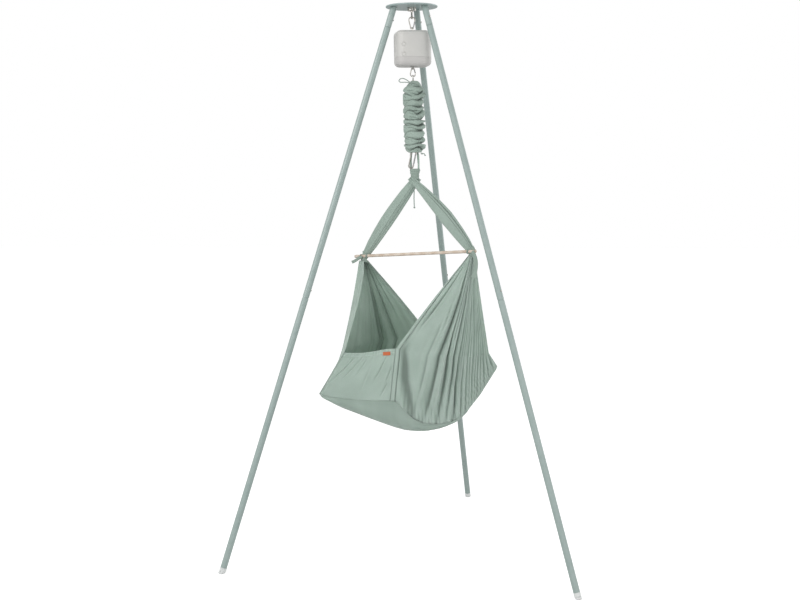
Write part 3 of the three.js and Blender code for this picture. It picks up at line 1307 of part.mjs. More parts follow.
function outwardAt(p, place) {
  const step = 0.004;
  const ahead = place(Math.min(p + step, 3.999)).sub(place(Math.max(p - step, 0)));
  return new THREE.Vector3(ahead.y, -ahead.x, 0).normalize();
}

// End cloth: gathered to a bundle under its knot, spreading round one end of the cradle
function foldWave(share) {
  const drift = Math.sin(share * 9.1) * 0.5 + Math.sin(share * 5.3 + 1) * 0.35;
  return Math.sin(HALF_TURN * (CLOTH_FOLDS * share + drift)) * (0.8 + 0.35 * Math.sin(share * 17));
}

function endCloth(side, firstP, lastP, firstAngle, lastAngle) {
  const fanRows = 8;
  const beltRows = 3;
  const places = placesBetween(firstP, lastP, 2);
  const knotU = side * KNOT_REACH;
  const knotZ = barMiddleZ + knotU * Math.tan(barTilt) - TIE_RADIUS - CLOTH_BUNDLE_DROP;
  const grid = [];
  for (let row = 0; row < fanRows + beltRows; row += 1) {
    grid.push(places.map((p) => {
      const share = (p - firstP) / (lastP - firstP);
      const angle = THREE.MathUtils.lerp(firstAngle, lastAngle, share);
      const bottom = rim(p);
      const middle = waist(p);
      const top = new THREE.Vector3(knotU + CLOTH_BUNDLE_RADIUS * Math.cos(angle),
        CLOTH_BUNDLE_RADIUS * Math.sin(angle), knotZ);
      const window = Math.min(1, Math.sin(Math.PI * share) * 2.2);
      const normal = outwardAt(p, waist);
      if (row >= fanRows) {
        const fall = (row - fanRows + 1) / beltRows;
        const depth = THREE.MathUtils.lerp(CLOTH_FOLD_DEPTH, CLOTH_THICKNESS * 0.6, fall ** 0.8);
        const level = row === fanRows + beltRows - 1 ? GAP * 2 : 0;
        return middle.lerp(bottom, fall).addScaledVector(normal, depth * window * foldWave(share))
          .add(new THREE.Vector3(0, 0, level));
      }
      const fall = row / (fanRows - 1);
      const control = middle.clone().lerp(top, 0.5).addScaledVector(middle.clone().sub(bottom), 0.08);
      const point = new THREE.QuadraticBezierCurve3(top, control, middle).getPoint(fall);
      const depth = CLOTH_THICKNESS * 0.4 + (CLOTH_FOLD_DEPTH - CLOTH_THICKNESS * 0.4) * fall;
      return point.addScaledVector(normal, depth * window * foldWave(share));
    }));
  }
  return sheet(grid, CLOTH_THICKNESS, true);
}

const seamStepShare = 0.0016;
const nearSeam = CLOTH_SEAM_SHARE;
const farSeam = 2 + CLOTH_SEAM_SHARE;
node('right_end_cloth', endCloth(1, nearSeam + seamStepShare, 2 - seamStepShare, degrees(-150), degrees(80)),
  finish.sageCloth, sling);
node('left_end_cloth', endCloth(-1, farSeam + seamStepShare, 4 - seamStepShare, degrees(30), degrees(260)),
  finish.sageCloth, sling);

// Side panels: low walls between the end cloths, gathered along their top hem
function sidePanel(firstP, lastP) {
  const rows = 5;
  const places = placesBetween(firstP, lastP, 4);
  const grid = [];
  for (let row = 0; row < rows; row += 1) {
    const fall = row / (rows - 1);
    grid.push(places.map((p) => {
      const share = (p - firstP) / (lastP - firstP);
      const window = Math.min(1, Math.sin(Math.PI * share) * 3);
      const wander = 0.2 * Math.sin(share * 11);
      const gather = PANEL_GATHER_DEPTH * Math.cos(FULL_TURN * (PANEL_GATHERS * share + wander));
      const point = waist(p).lerp(rim(p), fall);
      return point.addScaledVector(outwardAt(p, waist), gather * window * (1 - fall) ** 1.5)
        .add(new THREE.Vector3(0, 0, fall === 1 ? GAP * 2 : 0));
    }));
  }
  return sheet(grid, CLOTH_THICKNESS, true);
}

node('near_side_panel', sidePanel(seamStepShare, nearSeam - seamStepShare), finish.sageCloth, sling);
node('far_side_panel', sidePanel(2 + seamStepShare, farSeam - seamStepShare), finish.sageCloth, sling);

// Base pocket: a cloth tray under the end cloths, deepest along its middle
const trayCentreU = (RIM_LEFT + RIM_RIGHT) / 2;
const trayHalfU = (RIM_RIGHT - RIM_LEFT) / 2;
const trayCentreZ = RIM_HEIGHTS.reduce((sum, height) => sum + height, 0) / RIM_HEIGHTS.length;

function trayDepth(u, v) {
  const a = (u - trayCentreU) / trayHalfU;
  const b = v / RIM_HALF_WIDTH;
  const skew = 1 + POCKET_LEAN_SHARE * a * b + POCKET_SHIFT_SHARE * a;
  return POCKET_DEPTH * (1 - a * a) * skew + POCKET_END_DEPTH;
}

function trayPoint(p, share, inset) {
  const edge = rim(p).addScaledVector(outwardAt(p, rim), -inset);
  const u = trayCentreU + (edge.x - trayCentreU) * share;
  const v = edge.y * share;
  const level = THREE.MathUtils.lerp(trayCentreZ, edge.z, share ** 2);
  const depth = Math.max(trayDepth(u, v) - inset, 0) * (1 - share ** 4) ** 0.25;
  return new THREE.Vector3(u, v, level - depth);
}

const trayShares = [0.2, 0.42, 0.62, 0.78, 0.89, 0.96, 1];

function trayRing(share, inset) {
  return rimStations.map((p) => trayPoint(p, share, inset));
}

node('base_pocket', skinned([
  ...trayShares.map((share) => trayRing(share, 0)),
  ...trayShares.map((share) => trayRing(share, POCKET_WALL)).reverse(),
], false), finish.sageCloth, sling);

// Mattress: a thin crowned pad that follows the tray's floor
function mattressRing(share, rise) {
  return rimStations.map((p) => {
    const edge = rim(p);
    const reach = 1 + MATTRESS_SHIFT_SHARE * (edge.x - trayCentreU) / trayHalfU;
    const point = trayPoint(p, share * MATTRESS_SHARE * reach, POCKET_WALL + MATTRESS_GAP * 2);
    return point.setZ(point.z + MATTRESS_GAP + rise);
  });
}

const padShares = [0.25, 0.56, 0.81, 0.97];
const padSideShares = [[1, 0.12], [1, 0.55], [0.93, 0.85]];
node('mattress', skinned([
  ...padShares.map((share) => mattressRing(share, 0)),
  ...padSideShares.map(([share, lift]) => mattressRing(share, MATTRESS_THICKNESS * lift)),
  ...padShares.slice(0, -1).reverse().map((share) => mattressRing(share, MATTRESS_THICKNESS)),
], false), finish.mattress, sling);

// Bare sewn tag outside the near panel, by its seam
const tagP = nearSeam * TAG_PLACE_SHARE;
const tagPlace = waist(tagP).lerp(rim(tagP), 0.1).addScaledVector(outwardAt(tagP, waist),
  PANEL_GATHER_DEPTH * TAG_SEAT_SHARE + CLOTH_THICKNESS / 2 + TAG_THICKNESS / 2 + GAP);
node('tag', block(TAG_LENGTH, TAG_THICKNESS, TAG_HEIGHT, tagPlace.x, tagPlace.y, tagPlace.z),
  finish.orange, sling);

export default cradle;
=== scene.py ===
# %% [markdown]
# # Hanging baby cradle on a tripod
# The cradle hangs from a tripod of three lacquered tubes. Under the top plate hang a swivel eye, a snap
# link, a rounded drive unit, a second link, a coil spring in a ruched cover, and a cloth loop that carries
# the cloth cradle on a beech spreader bar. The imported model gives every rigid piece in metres, and this
# lesson dresses it: it gives each rigid piece a finish of its own and makes the cloth and cords anew.

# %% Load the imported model
import math

import bmesh
import bpy
import numpy as np
from mathutils import Matrix, Vector


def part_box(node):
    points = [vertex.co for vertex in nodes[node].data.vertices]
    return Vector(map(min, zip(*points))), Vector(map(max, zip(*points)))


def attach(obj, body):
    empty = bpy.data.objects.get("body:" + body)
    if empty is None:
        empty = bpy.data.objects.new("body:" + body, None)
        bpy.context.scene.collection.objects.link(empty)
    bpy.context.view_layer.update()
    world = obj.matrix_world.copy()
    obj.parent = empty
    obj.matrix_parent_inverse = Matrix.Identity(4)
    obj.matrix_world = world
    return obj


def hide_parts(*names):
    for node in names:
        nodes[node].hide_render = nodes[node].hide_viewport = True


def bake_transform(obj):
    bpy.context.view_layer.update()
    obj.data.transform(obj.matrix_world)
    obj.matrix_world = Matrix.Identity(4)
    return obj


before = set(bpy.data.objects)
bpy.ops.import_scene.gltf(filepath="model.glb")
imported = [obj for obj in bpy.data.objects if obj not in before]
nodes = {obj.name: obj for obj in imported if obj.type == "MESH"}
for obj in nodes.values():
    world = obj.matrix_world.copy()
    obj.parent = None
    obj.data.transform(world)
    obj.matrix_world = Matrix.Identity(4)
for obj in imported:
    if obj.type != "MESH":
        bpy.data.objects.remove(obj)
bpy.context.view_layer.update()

# %% [markdown]
# ## The photographer's place
# The photograph was taken from about 4 m away at chest height, with a longish lens and the frame shifted a
# little to the side. A camera can be aimed by a target, but a fitted one is best set by its own three axes:
# right, up and back. These come from a pitch, a yaw and a small roll that were fitted to the feet and plate.

# %% Camera
PLUMB = Vector((0.0, -0.176, 0.0))
# The chain and the photographer's place are turned this far about the plumb line, the cradle 27 degrees less
CHAIN_TURN = math.radians(16)
SLING_TURN = math.radians(16 - 27)
CAMERA_DISTANCE = 4.0218
CAMERA_HEIGHT = 1.3583
PITCH, YAW, ROLL = 0.1138, 0.0424, -0.0151
# The picture's size, focal length and centre, in its own pixels
PICTURE_WIDTH, PICTURE_HEIGHT = 800, 600
FOCAL_LENGTH = 1160.7
CENTRE_X, CENTRE_Y = 466.4, 300.4

ahead = Vector((math.cos(PITCH) * math.sin(YAW), math.cos(PITCH) * math.cos(YAW), -math.sin(PITCH)))
level = Vector((math.cos(YAW), -math.sin(YAW), 0))
above = level.cross(ahead)
right = math.cos(ROLL) * level + math.sin(ROLL) * above
up = -math.sin(ROLL) * level + math.cos(ROLL) * above
axes = Matrix((right, up, -ahead)).transposed().to_4x4()
place = Matrix.Translation(PLUMB + Vector((0, -CAMERA_DISTANCE, CAMERA_HEIGHT))) @ axes
turn = Matrix.Translation(PLUMB) @ Matrix.Rotation(CHAIN_TURN, 4, "Z") @ Matrix.Translation(-PLUMB)

camera_data = bpy.data.cameras.new("camera")
camera_data.sensor_width = 36
camera_data.lens = FOCAL_LENGTH / PICTURE_WIDTH * camera_data.sensor_width
camera_data.shift_x = (PICTURE_WIDTH / 2 - CENTRE_X) / PICTURE_WIDTH
camera_data.shift_y = (CENTRE_Y - PICTURE_HEIGHT / 2) / PICTURE_WIDTH
camera_data.clip_end = 60
camera = bpy.data.objects.new("camera", camera_data)
bpy.context.collection.objects.link(camera)
camera.matrix_world = turn @ place
bpy.context.scene.camera = camera
bpy.context.scene.view_settings.view_transform = "Standard"
print("camera at", [round(x, 3) for x in camera.matrix_world.translation], "lens", round(camera_data.lens, 1))

# %% [markdown]
# ## Floor and light
# A studio sweep is a pale floor and a white backdrop that fade into each other. The floor is a plain sheet
# that keeps the shadows, and what only the camera sees is lifted to white, so no extra light falls on the
# cradle. One large soft lamp stands high on the left, a weaker one fills from the right, and a narrow one
# behind draws the light line along the tubes. A few short helpers come first, since every finish needs them.

# %% Helpers that make materials and their nodes


def linear(red, green, blue):
    """A colour as a screen shows it, 0 to 255, turned into the linear values that shaders use."""
    shares = [x / 255 for x in (red, green, blue)]
    return tuple(x / 12.92 if x <= 0.04045 else ((x + 0.055) / 1.055) ** 2.4 for x in shares) + (1.0,)


def feed(node, **values):
    """Sets a node's settings and inputs, from values or other nodes' outputs; i2 is the third input."""
    for key, value in values.items():
        if hasattr(node, key):
            setattr(node, key, value)
            continue
        socket = node.inputs[int(key[1:]) if key[0] == "i" and key[1:].isdigit() else key.replace("_", " ")]
        if isinstance(value, bpy.types.NodeSocket):
            node.id_data.links.new(value, socket)
        else:
            socket.default_value = value
    return node


def put(tree, kind, **values):
    """A new node of one kind, with its settings and inputs."""
    return feed(tree.nodes.new("ShaderNode" + kind), **values)


def calc(tree, operation, *terms):
    """The result of one step of arithmetic on outputs or plain numbers."""
    inputs = {f"i{i}": term for i, term in enumerate(terms)}
    return put(tree, "Math", operation=operation, **inputs).outputs[0]


def scaled(tree, vector, size):
    """A vector made longer or shorter."""
    return put(tree, "VectorMath", operation="SCALE", i0=vector, Scale=size).outputs[0]


def ranged(tree, value, low, high, to_low=0.0, to_high=1.0):
    """A value moved from one range into another."""
    node = put(tree, "MapRange", Value=value, From_Min=low, From_Max=high, To_Min=to_low, To_Max=to_high)
    return node.outputs["Result"]


def noise(tree, vector, scale, detail, **others):
    """Soft patches of grey, this many to a metre."""
    return put(tree, "TexNoise", Vector=vector, Scale=scale, Detail=detail, **others).outputs["Fac"]


def mixed(tree, share, first, second):
    """A colour between two others."""
    return put(tree, "Mix", data_type="RGBA", i0=share, i6=first, i7=second).outputs[2]


def new_material(name):
    """A material, its nodes and its main shader."""
    material = bpy.data.materials.new(name)
    material.use_nodes = True
    tree = material.node_tree
    return material, tree, tree.nodes["Principled BSDF"]


print("colours are linear:", [round(x, 3) for x in linear(128, 128, 128)])

# %% Floor, backdrop and lamps
FLOOR_SIZE = 30.0
FLOOR_LIFT = 0.55
WHITE = (1, 1, 1, 1)

floor_mesh = bpy.data.meshes.new("floor")
half = FLOOR_SIZE / 2
corners = [(-half, -half, 0), (half, -half, 0), (half, half, 0), (-half, half, 0)]
floor_mesh.from_pydata(corners, [], [(0, 1, 2, 3)])
floor = bpy.data.objects.new("floor", floor_mesh)
bpy.context.collection.objects.link(floor)
floor_paint, tree, shader = new_material("pale floor")
seen = put(tree, "LightPath").outputs
feed(shader, Base_Color=(0.78, 0.78, 0.78, 1), Roughness=0.9, Specular_IOR_Level=0.1, Emission_Color=WHITE,
     Emission_Strength=calc(tree, "MULTIPLY", seen["Is Camera Ray"], FLOOR_LIFT))
floor_mesh.materials.append(floor_paint)

world = bpy.data.worlds.new("studio")
bpy.context.scene.world = world
world.use_nodes = True
tree = world.node_tree
seen = put(tree, "LightPath").outputs
straight = calc(tree, "MAXIMUM", seen["Is Camera Ray"], seen["Is Glossy Ray"])
straight = calc(tree, "MAXIMUM", straight, seen["Is Transmission Ray"])
feed(tree.nodes["Background"], Color=WHITE, Strength=ranged(tree, straight, 0.0, 1.0, 0.6, 1.0))


def lamp(name, place, aim, width, height, power):
    """A soft rectangular lamp that looks at the aim; its power is in watts."""
    data = bpy.data.lights.new(name, "AREA")
    data.shape = "RECTANGLE"
    data.size, data.size_y, data.energy = width, height, power
    thing = bpy.data.objects.new(name, data)
    bpy.context.collection.objects.link(thing)
    thing.location = place
    thing.rotation_euler = (Vector(aim) - Vector(place)).to_track_quat("-Z", "Y").to_euler()
    return thing


lamp("key softbox", (-1.9, -4.3, 3.0), (0, -0.2, 1.0), 2.6, 2.2, 84)
lamp("fill softbox", (3.4, -3.2, 2.0), (0, -0.2, 1.0), 2.6, 2.6, 30)
lamp("back strip", (2.9, 2.2, 1.6), (0, 0, 1.1), 0.8, 2.6, 40)

# %% [markdown]
# ## Shader groups shared by the finishes
# Real surfaces share a few effects: threads crossing in cloth, fine grain in lacquer and moulded plastic,
# long fibres in wood, edges that rub pale, and stitches. Each effect is one node group with named sockets.
# Putting it in a group means that a better weave, for instance, reaches every cloth at once.

# %% A helper that builds a node group


def new_group(name, inputs, outputs):
    """A shader group, what goes in and its end; inputs are (name, kind, value), outputs (name, kind)."""
    group = bpy.data.node_groups.new(name, "ShaderNodeTree")
    for title, kind, value in inputs:
        socket = group.interface.new_socket(name=title, in_out="INPUT", socket_type="NodeSocket" + kind)
        if value is not None:
            socket.default_value = value
    for title, kind in outputs:
        group.interface.new_socket(name=title, in_out="OUTPUT", socket_type="NodeSocket" + kind)
    return group, group.nodes.new("NodeGroupInput").outputs, group.nodes.new("NodeGroupOutput")


# %% Woven cloth: threads that go over and under, and a painted shade in folds
THREAD = 0.0011
group, given, leave = new_group(
    "woven cloth",
    [("Vector", "Vector", None), ("Thread", "Float", THREAD), ("Light", "Color", WHITE),
     ("Dark", "Color", (0, 0, 0, 1)), ("Slub", "Float", 0.35), ("Hollow", "Float", 0.0)],
    [("Color", "Color"), ("Height", "Float")],
)
vector = given["Vector"]
wander = put(group, "TexNoise", Vector=vector, Scale=90.0, Detail=2.0).outputs["Color"]
turns = calc(group, "DIVIDE", math.pi, given["Thread"])
laid = put(group, "VectorMath", operation="ADD", i0=scaled(group, vector, turns),
           i1=scaled(group, wander, 1.6))
parts = put(group, "SeparateXYZ", Vector=laid.outputs[0]).outputs
cross = calc(group, "MULTIPLY", calc(group, "SINE", parts["X"]), calc(group, "SINE", parts["Y"]))
mottle = calc(group, "MULTIPLY", noise(group, vector, 320.0, 3.0), given["Slub"])
height = calc(group, "ADD", ranged(group, cross, -1.0, 1.0), mottle)
broad = noise(group, vector, 9.0, 4.0, Roughness=0.55)
toned = calc(group, "ADD", ranged(group, height, 0.0, 1.3, 0.0, 0.6),
             ranged(group, broad, 0.3, 0.7, 0.0, 0.45))
# Painted shade: the shade input darkens the cloth's colour down to 0.52 of itself
sunk = ranged(group, given["Hollow"], 0.0, 1.0, 1.0, 0.52)
feed(leave, Color=scaled(group, mixed(group, toned, given["Dark"], given["Light"]), sunk), Height=height)
weave_group = group
print("group", group.name, len(group.nodes), "nodes")

# %% Fine grain: the orange peel of lacquer and the texture of moulded plastic
group, given, leave = new_group(
    "fine grain",
    [("Vector", "Vector", None), ("Scale", "Float", 900.0), ("Base", "Color", WHITE),
     ("Tint", "Color", WHITE), ("Roughness", "Float", 0.4), ("Spread", "Float", 0.08)],
    [("Color", "Color"), ("Height", "Float"), ("Roughness", "Float")],
)
broad = noise(group, given["Vector"], 14.0, 5.0, Roughness=0.6)
spread = calc(group, "MULTIPLY", calc(group, "SUBTRACT", broad, 0.5), given["Spread"])
feed(leave, Color=mixed(group, ranged(group, broad, 0.35, 0.65), given["Base"], given["Tint"]),
     Height=noise(group, given["Vector"], given["Scale"], 3.0),
     Roughness=calc(group, "ADD", spread, given["Roughness"]))
grain_group = group
print("group", group.name, len(group.nodes), "nodes")

# %% Rubbed edges: where a rim is sharp, the finish thins and pales
group, given, leave = new_group(
    "rubbed edges",
    [("Vector", "Vector", None), ("Pointiness", "Float", 0.5), ("Color", "Color", WHITE),
     ("Worn", "Color", WHITE), ("Amount", "Float", 0.5)],
    [("Color", "Color"), ("Mask", "Float")],
)
sharp = ranged(group, given["Pointiness"], 0.56, 0.7)
broken = ranged(group, noise(group, given["Vector"], 60.0, 6.0), 0.4, 0.62)
amount = calc(group, "MULTIPLY", calc(group, "MULTIPLY", sharp, broken), given["Amount"])
feed(leave, Color=mixed(group, amount, given["Color"], given["Worn"]), Mask=amount)
wear_group = group
print("group", group.name, len(group.nodes), "nodes")

# %% Wood grain: fibres drawn out along the bar
group, given, leave = new_group(
    "wood grain",
    [("Vector", "Vector", None), ("Pale", "Color", WHITE), ("Deep", "Color", (0, 0, 0, 1))],
    [("Color", "Color"), ("Height", "Float")],
)
fibres = noise(group, given["Vector"], 1.0, 5.0, Roughness=0.6)
rings = put(group, "TexWave", Vector=given["Vector"], Scale=0.35, Distortion=3.0, Detail=2.0).outputs["Fac"]
height = calc(group, "MULTIPLY_ADD", fibres, rings, fibres)
feed(leave, Color=mixed(group, ranged(group, height, 0.35, 1.1), given["Pale"], given["Deep"]), Height=height)
wood_group = group
print("group", group.name, len(group.nodes), "nodes")

# %% Stitch line: short threads in a row at a set distance from a hem
STITCH = 0.0034
group, given, leave = new_group(
    "stitch line",
    [("Across", "Float", 0.0), ("Along", "Float", 0.0), ("Place", "Float", 0.012),
     ("Length", "Float", STITCH)],
    [("Mask", "Float")],
)
off = calc(group, "ABSOLUTE", calc(group, "SUBTRACT", given["Across"], given["Place"]))
beat = calc(group, "FRACT", calc(group, "DIVIDE", given["Along"], given["Length"]))
near = ranged(group, off, 0.0004, 0.0009, 1.0, 0.0)
feed(leave, Mask=calc(group, "MULTIPLY", near, calc(group, "LESS_THAN", beat, 0.72)))
stitch_group = group
print("group", group.name, "stitches every", round(STITCH * 1000, 1), "mm")

# %% [markdown]
# ## Finishes of the rigid pieces
# The tubes are steel with a smooth grey-green lacquer. Lacquer is never one flat colour: it has a faint
# orange peel, its gloss varies, and it rubs pale on rims. The wire links are bright zinc, the drive unit is
# warm grey moulded plastic with a fine matt grain, and the feet are milky plastic that lets light through.

# %% Lacquer, plastic and metal


def use_group(tree, group, **values):
    """A shader group set into a finish."""
    return put(tree, "Group", node_tree=group, **values)


def bump(tree, shader, height, strength, distance):
    """Feeds a height into the shader's normal."""
    node = put(tree, "Bump", Height=height, Strength=strength, Distance=distance)
    feed(shader, Normal=node.outputs["Normal"])


def coated(name, base, tint, worn, roughness, metallic=0.0, grain=900.0, peel=0.12, coat=0.0, amount=0.35):
    """A lacquered, moulded or bare metal finish, from the grain and rubbed-edge groups."""
    material, tree, shader = new_material(name)
    where = put(tree, "TexCoord").outputs["Object"]
    fine = use_group(tree, grain_group, Vector=where, Scale=grain, Base=linear(*base), Tint=linear(*tint),
                     Roughness=roughness, Spread=0.1).outputs
    rims = put(tree, "NewGeometry").outputs["Pointiness"]
    wear = use_group(tree, wear_group, Vector=where, Pointiness=rims, Color=fine["Color"], Worn=linear(*worn),
                     Amount=amount)
    feed(shader, Base_Color=wear.outputs["Color"], Roughness=fine["Roughness"], Metallic=metallic,
         Coat_Weight=coat, Coat_Roughness=0.2)
    bump(tree, shader, fine["Height"], peel, 0.0004)
    return material


enamel = coated("sage lacquer", (150, 167, 163), (157, 173, 169), (186, 196, 192), 0.36, coat=0.25)
plate_enamel = coated("sage lacquer on the plate", (150, 168, 166), (158, 175, 173), (186, 196, 192), 0.42,
                      coat=0.15)
zinc = coated("bright zinc wire", (190, 188, 183), (176, 172, 165), (214, 212, 208), 0.27, metallic=1.0,
              grain=1400, peel=0.08)
dark_zinc = coated("dull zinc", (132, 134, 136), (120, 120, 118), (170, 170, 168), 0.4, metallic=1.0,
                   grain=1400, peel=0.1)
moulding = coated("warm grey moulding", (206, 205, 201), (202, 201, 198), (218, 217, 213), 0.5, grain=1500,
                  peel=0.22, amount=0.3)
base_moulding = coated("warm grey base moulding", (199, 197, 194), (195, 193, 191), (212, 210, 206), 0.52,
                       grain=1500, peel=0.22, amount=0.3)
button_plastic = coated("button moulding", (212, 211, 207), (208, 207, 203), (222, 221, 217), 0.42,
                        grain=1800, peel=0.1, amount=0.2)
board_green = coated("circuit board", (48, 105, 76), (40, 92, 66), (150, 120, 70), 0.45, grain=700, peel=0.3,
                     coat=0.3)
socket_black = coated("black moulding", (40, 41, 43), (46, 47, 49), (80, 80, 80), 0.45)
print("coated finishes use", grain_group.name, "and", wear_group.name)

# %% Milky feet
milky, tree, shader = new_material("milky plastic")
fine = use_group(tree, grain_group, Vector=put(tree, "TexCoord").outputs["Object"], Scale=500.0,
                 Base=linear(228, 230, 229), Tint=linear(218, 221, 220), Roughness=0.32, Spread=0.12).outputs
feed(shader, Base_Color=fine["Color"], Roughness=fine["Roughness"], Subsurface_Weight=0.35,
     Subsurface_Radius=(0.006, 0.006, 0.006), Subsurface_Scale=1.0)
bump(tree, shader, fine["Height"], 0.1, 0.0003)
milkiness = shader.inputs["Subsurface Weight"].default_value
print("milky plastic lets", round(milkiness, 2), "of the light through")

# %% Beech bar
# Grains to a metre, along the bar and across it
FIBRES = (22, 420, 420)
beech, tree, shader = new_material("oiled beech")
along_bar = put(tree, "Mapping", vector_type="POINT", Vector=put(tree, "TexCoord").outputs["Object"],
                Rotation=(0, 0, -SLING_TURN)).outputs[0]
stretched = put(tree, "VectorMath", operation="MULTIPLY", i0=along_bar, i1=FIBRES).outputs[0]
wood = use_group(tree, wood_group, Vector=stretched, Pale=linear(224, 212, 199), Deep=linear(203, 183, 164))
feed(shader, Base_Color=wood.outputs["Color"], Roughness=0.55)
bump(tree, shader, wood.outputs["Height"], 0.25, 0.0004)
print("beech uses", wood.node_tree.name)

# %% [markdown]
# ## Smooth round faces, crisp edges
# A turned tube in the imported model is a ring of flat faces. Marking its faces smooth and its hard corners
# sharp makes light roll round it while rims stay crisp. This changes only how faces are shaded, never where
# they are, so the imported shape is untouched.

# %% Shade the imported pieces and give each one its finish
FINISHES = {}
for finish, names in (
    (plate_enamel, "top_plate"),
    (zinc, "swivel_cup swivel_eye upper_link lower_link cradle_link crank_arm pull_rod drive_top_eye"),
    (zinc, "spring_top_eye spring_bottom_eye coil_spring"),
    (dark_zinc, "upper_link_gate lower_link_gate cradle_link_gate drive_frame gear_motor"),
    (moulding, "drive_front_shell drive_rear_shell"),
    (base_moulding, "drive_base_cover"),
    (button_plastic, "upper_drive_button lower_drive_button"),
    (board_green, "control_board"),
    (socket_black, "power_socket"),
    (beech, "spreader_bar"),
):
    FINISHES.update(dict.fromkeys(names.split(), finish))
for side in ("right", "back", "left"):
    for part, finish in (("leg_socket", enamel), ("upper_leg", enamel), ("lower_leg", enamel),
                         ("foot", milky), ("socket_button", zinc), ("seam_button", zinc)):
        FINISHES[f"{side}_{part}"] = finish


def shade(thing, angle):
    """Smooth faces, with edges sharper than the angle kept crisp."""
    mesh = thing.data
    shape = bmesh.new()
    shape.from_mesh(mesh)
    limit = math.radians(angle)
    sharp = [len(e.link_faces) != 2 or e.calc_face_angle(0.0) > limit for e in shape.edges]
    shape.free()
    mesh.polygons.foreach_set("use_smooth", [True] * len(mesh.polygons))
    marks = mesh.attributes.get("sharp_edge") or mesh.attributes.new("sharp_edge", "BOOLEAN", "EDGE")
    marks.data.foreach_set("value", sharp)


for name, finish in FINISHES.items():
    thing = nodes[name]
    thing.data.materials.clear()
    thing.data.materials.append(finish)
    shade(thing, 62 if "wire" in finish.name else 40)
print(len(FINISHES), "packed pieces have a finish")

# %% [markdown]
# ## Frames that hang in each other
# The chain is turned by 16 degrees about the plumb line under the plate, the cradle by a further 27 degrees
# back. Each soft piece is easiest to describe in its own upright frame, in millimetres, and is then turned
# into the model's metres. Two helpers do that, and one makes a sheet mesh from rows of points.

# %% Helpers that place points and make sheets


def placed(points, turn):
    """Points in millimetres round the plumb line, turned and moved into the model's metres."""
    points = np.asarray(points, float)
    c, s = math.cos(turn), math.sin(turn)
    out = np.empty_like(points)
    out[..., 0] = points[..., 0] * c - points[..., 1] * s
    out[..., 1] = points[..., 0] * s + points[..., 1] * c
    out[..., 2] = points[..., 2]
    out = out / 1000
    out[..., 1] += PLUMB.y
    return out


def mesh_from(name, points, faces, material, body, uv=None, hollow=None):
    """A smooth mesh piece that rides on one body, with a painted shade from 0 to 1 at each point for its
    cloth colour.
    """
    mesh = bpy.data.meshes.new(name)
    mesh.from_pydata([tuple(p) for p in points], [], faces)
    mesh.polygons.foreach_set("use_smooth", [True] * len(mesh.polygons))
    if uv is not None:
        layer = mesh.uv_layers.new(name="cloth")
        corners = np.array([loop.vertex_index for loop in mesh.loops])
        layer.data.foreach_set("uv", np.asarray(uv, float)[corners].ravel())
    # Painted shade: a point attribute that the cloth finishes read to darken their colour in folds and along
    # seams
    if hollow is not None:
        depth = mesh.attributes.new("hollow", "FLOAT", "POINT")
        depth.data.foreach_set("value", np.clip(np.asarray(hollow, float).ravel(), 0, 1))
    mesh.materials.append(material)
    mesh.update()
    thing = bpy.data.objects.new(name, mesh)
    bpy.context.collection.objects.link(thing)
    if body:
        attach(thing, body)
    return thing


def walked_along(points):
    """Distance walked from the first point of a line to each of its points."""
    return np.concatenate([[0], np.cumsum(np.linalg.norm(np.diff(points, axis=0), axis=1))])


def run_of(points):
    """The length of a line of points."""
    points = np.array([np.array(p, dtype=float) for p in points])
    return float(np.linalg.norm(np.diff(points, axis=0), axis=1).sum())


def arc_lengths(grid, axis):
    """Distance walked along each line of a grid of points."""
    steps = np.linalg.norm(np.diff(grid, axis=axis), axis=-1)
    return np.concatenate([np.zeros_like(np.take(steps, [0], axis)), np.cumsum(steps, axis)], axis)


def both(first, second):
    """One value for each point of a sheet: those of its first face, then those of its second face."""
    return np.concatenate([np.ravel(first), np.ravel(second)])


def painted_fold_shades(depth, reach=9, scale=3.0, down=False, swapped=False):
    """Painted shade for each place from how deep it lies below its surroundings, on the first and the second
    face, or swapped.
    """
    rows = depth.T if down else depth
    kernel = np.hanning(2 * reach + 3)[1:-1]
    kernel /= kernel.sum()
    wide = np.pad(rows, ((0, 0), (reach, reach)), "edge")
    level = np.stack([np.convolve(row, kernel, "valid") for row in wide])
    below = ((level - rows) / scale).T if down else (level - rows) / scale
    return both(-0.35 * below, below) if swapped else both(below, -0.35 * below)


def two_layers(grid, normal, thickness):
    """The points of a sheet's first face, then those of its second face."""
    normal = normal / np.maximum(np.linalg.norm(normal, axis=-1, keepdims=True), 1e-12)
    return np.vstack([(grid + side * normal * thickness / 2).reshape(-1, 3) for side in (1, -1)])


def shell_faces(rows, columns, edges, closed=False):
    """Faces of both layers of a sheet, open or closed round, and of the rims along its edges."""
    count = rows * columns
    faces = []
    for r in range(rows - 1):
        for c in range(columns if closed else columns - 1):
            a, b = r * columns + c, r * columns + (c + 1) % columns
            d, e = b + columns, a + columns
            faces += [(a, b, d, e), (count + a, count + e, count + d, count + b)]
    for edge in edges:
        faces += [(b, a, count + a, count + b) for a, b in zip(edge, edge[1:] + edge[:1])]
    return faces


def sheet_from(name, grid, thickness, material, body, hollow=None):
    """A cloth sheet with two faces, hemmed edges and UVs in metres, and the area of its grid."""
    rows, columns = grid.shape[:2]
    normal = np.cross(np.gradient(grid, axis=1), np.gradient(grid, axis=0))
    edge = list(range(columns)) + [r * columns + columns - 1 for r in range(1, rows)]
    edge += [(rows - 1) * columns + c for c in range(columns - 2, -1, -1)]
    edge += [r * columns for r in range(rows - 2, 0, -1)]
    flat = np.stack([arc_lengths(grid, 1), arc_lengths(grid, 0)], -1).reshape(-1, 2)
    faces = shell_faces(rows, columns, [edge])
    thing = mesh_from(name, two_layers(grid, normal, thickness), faces, material, body,
                      uv=np.vstack([flat, flat]), hollow=hollow)
    return thing, float(np.linalg.norm(normal, axis=-1).sum())


print("a sheet of one square has", len(shell_faces(2, 2, [[0, 1, 3, 2]])), "faces")
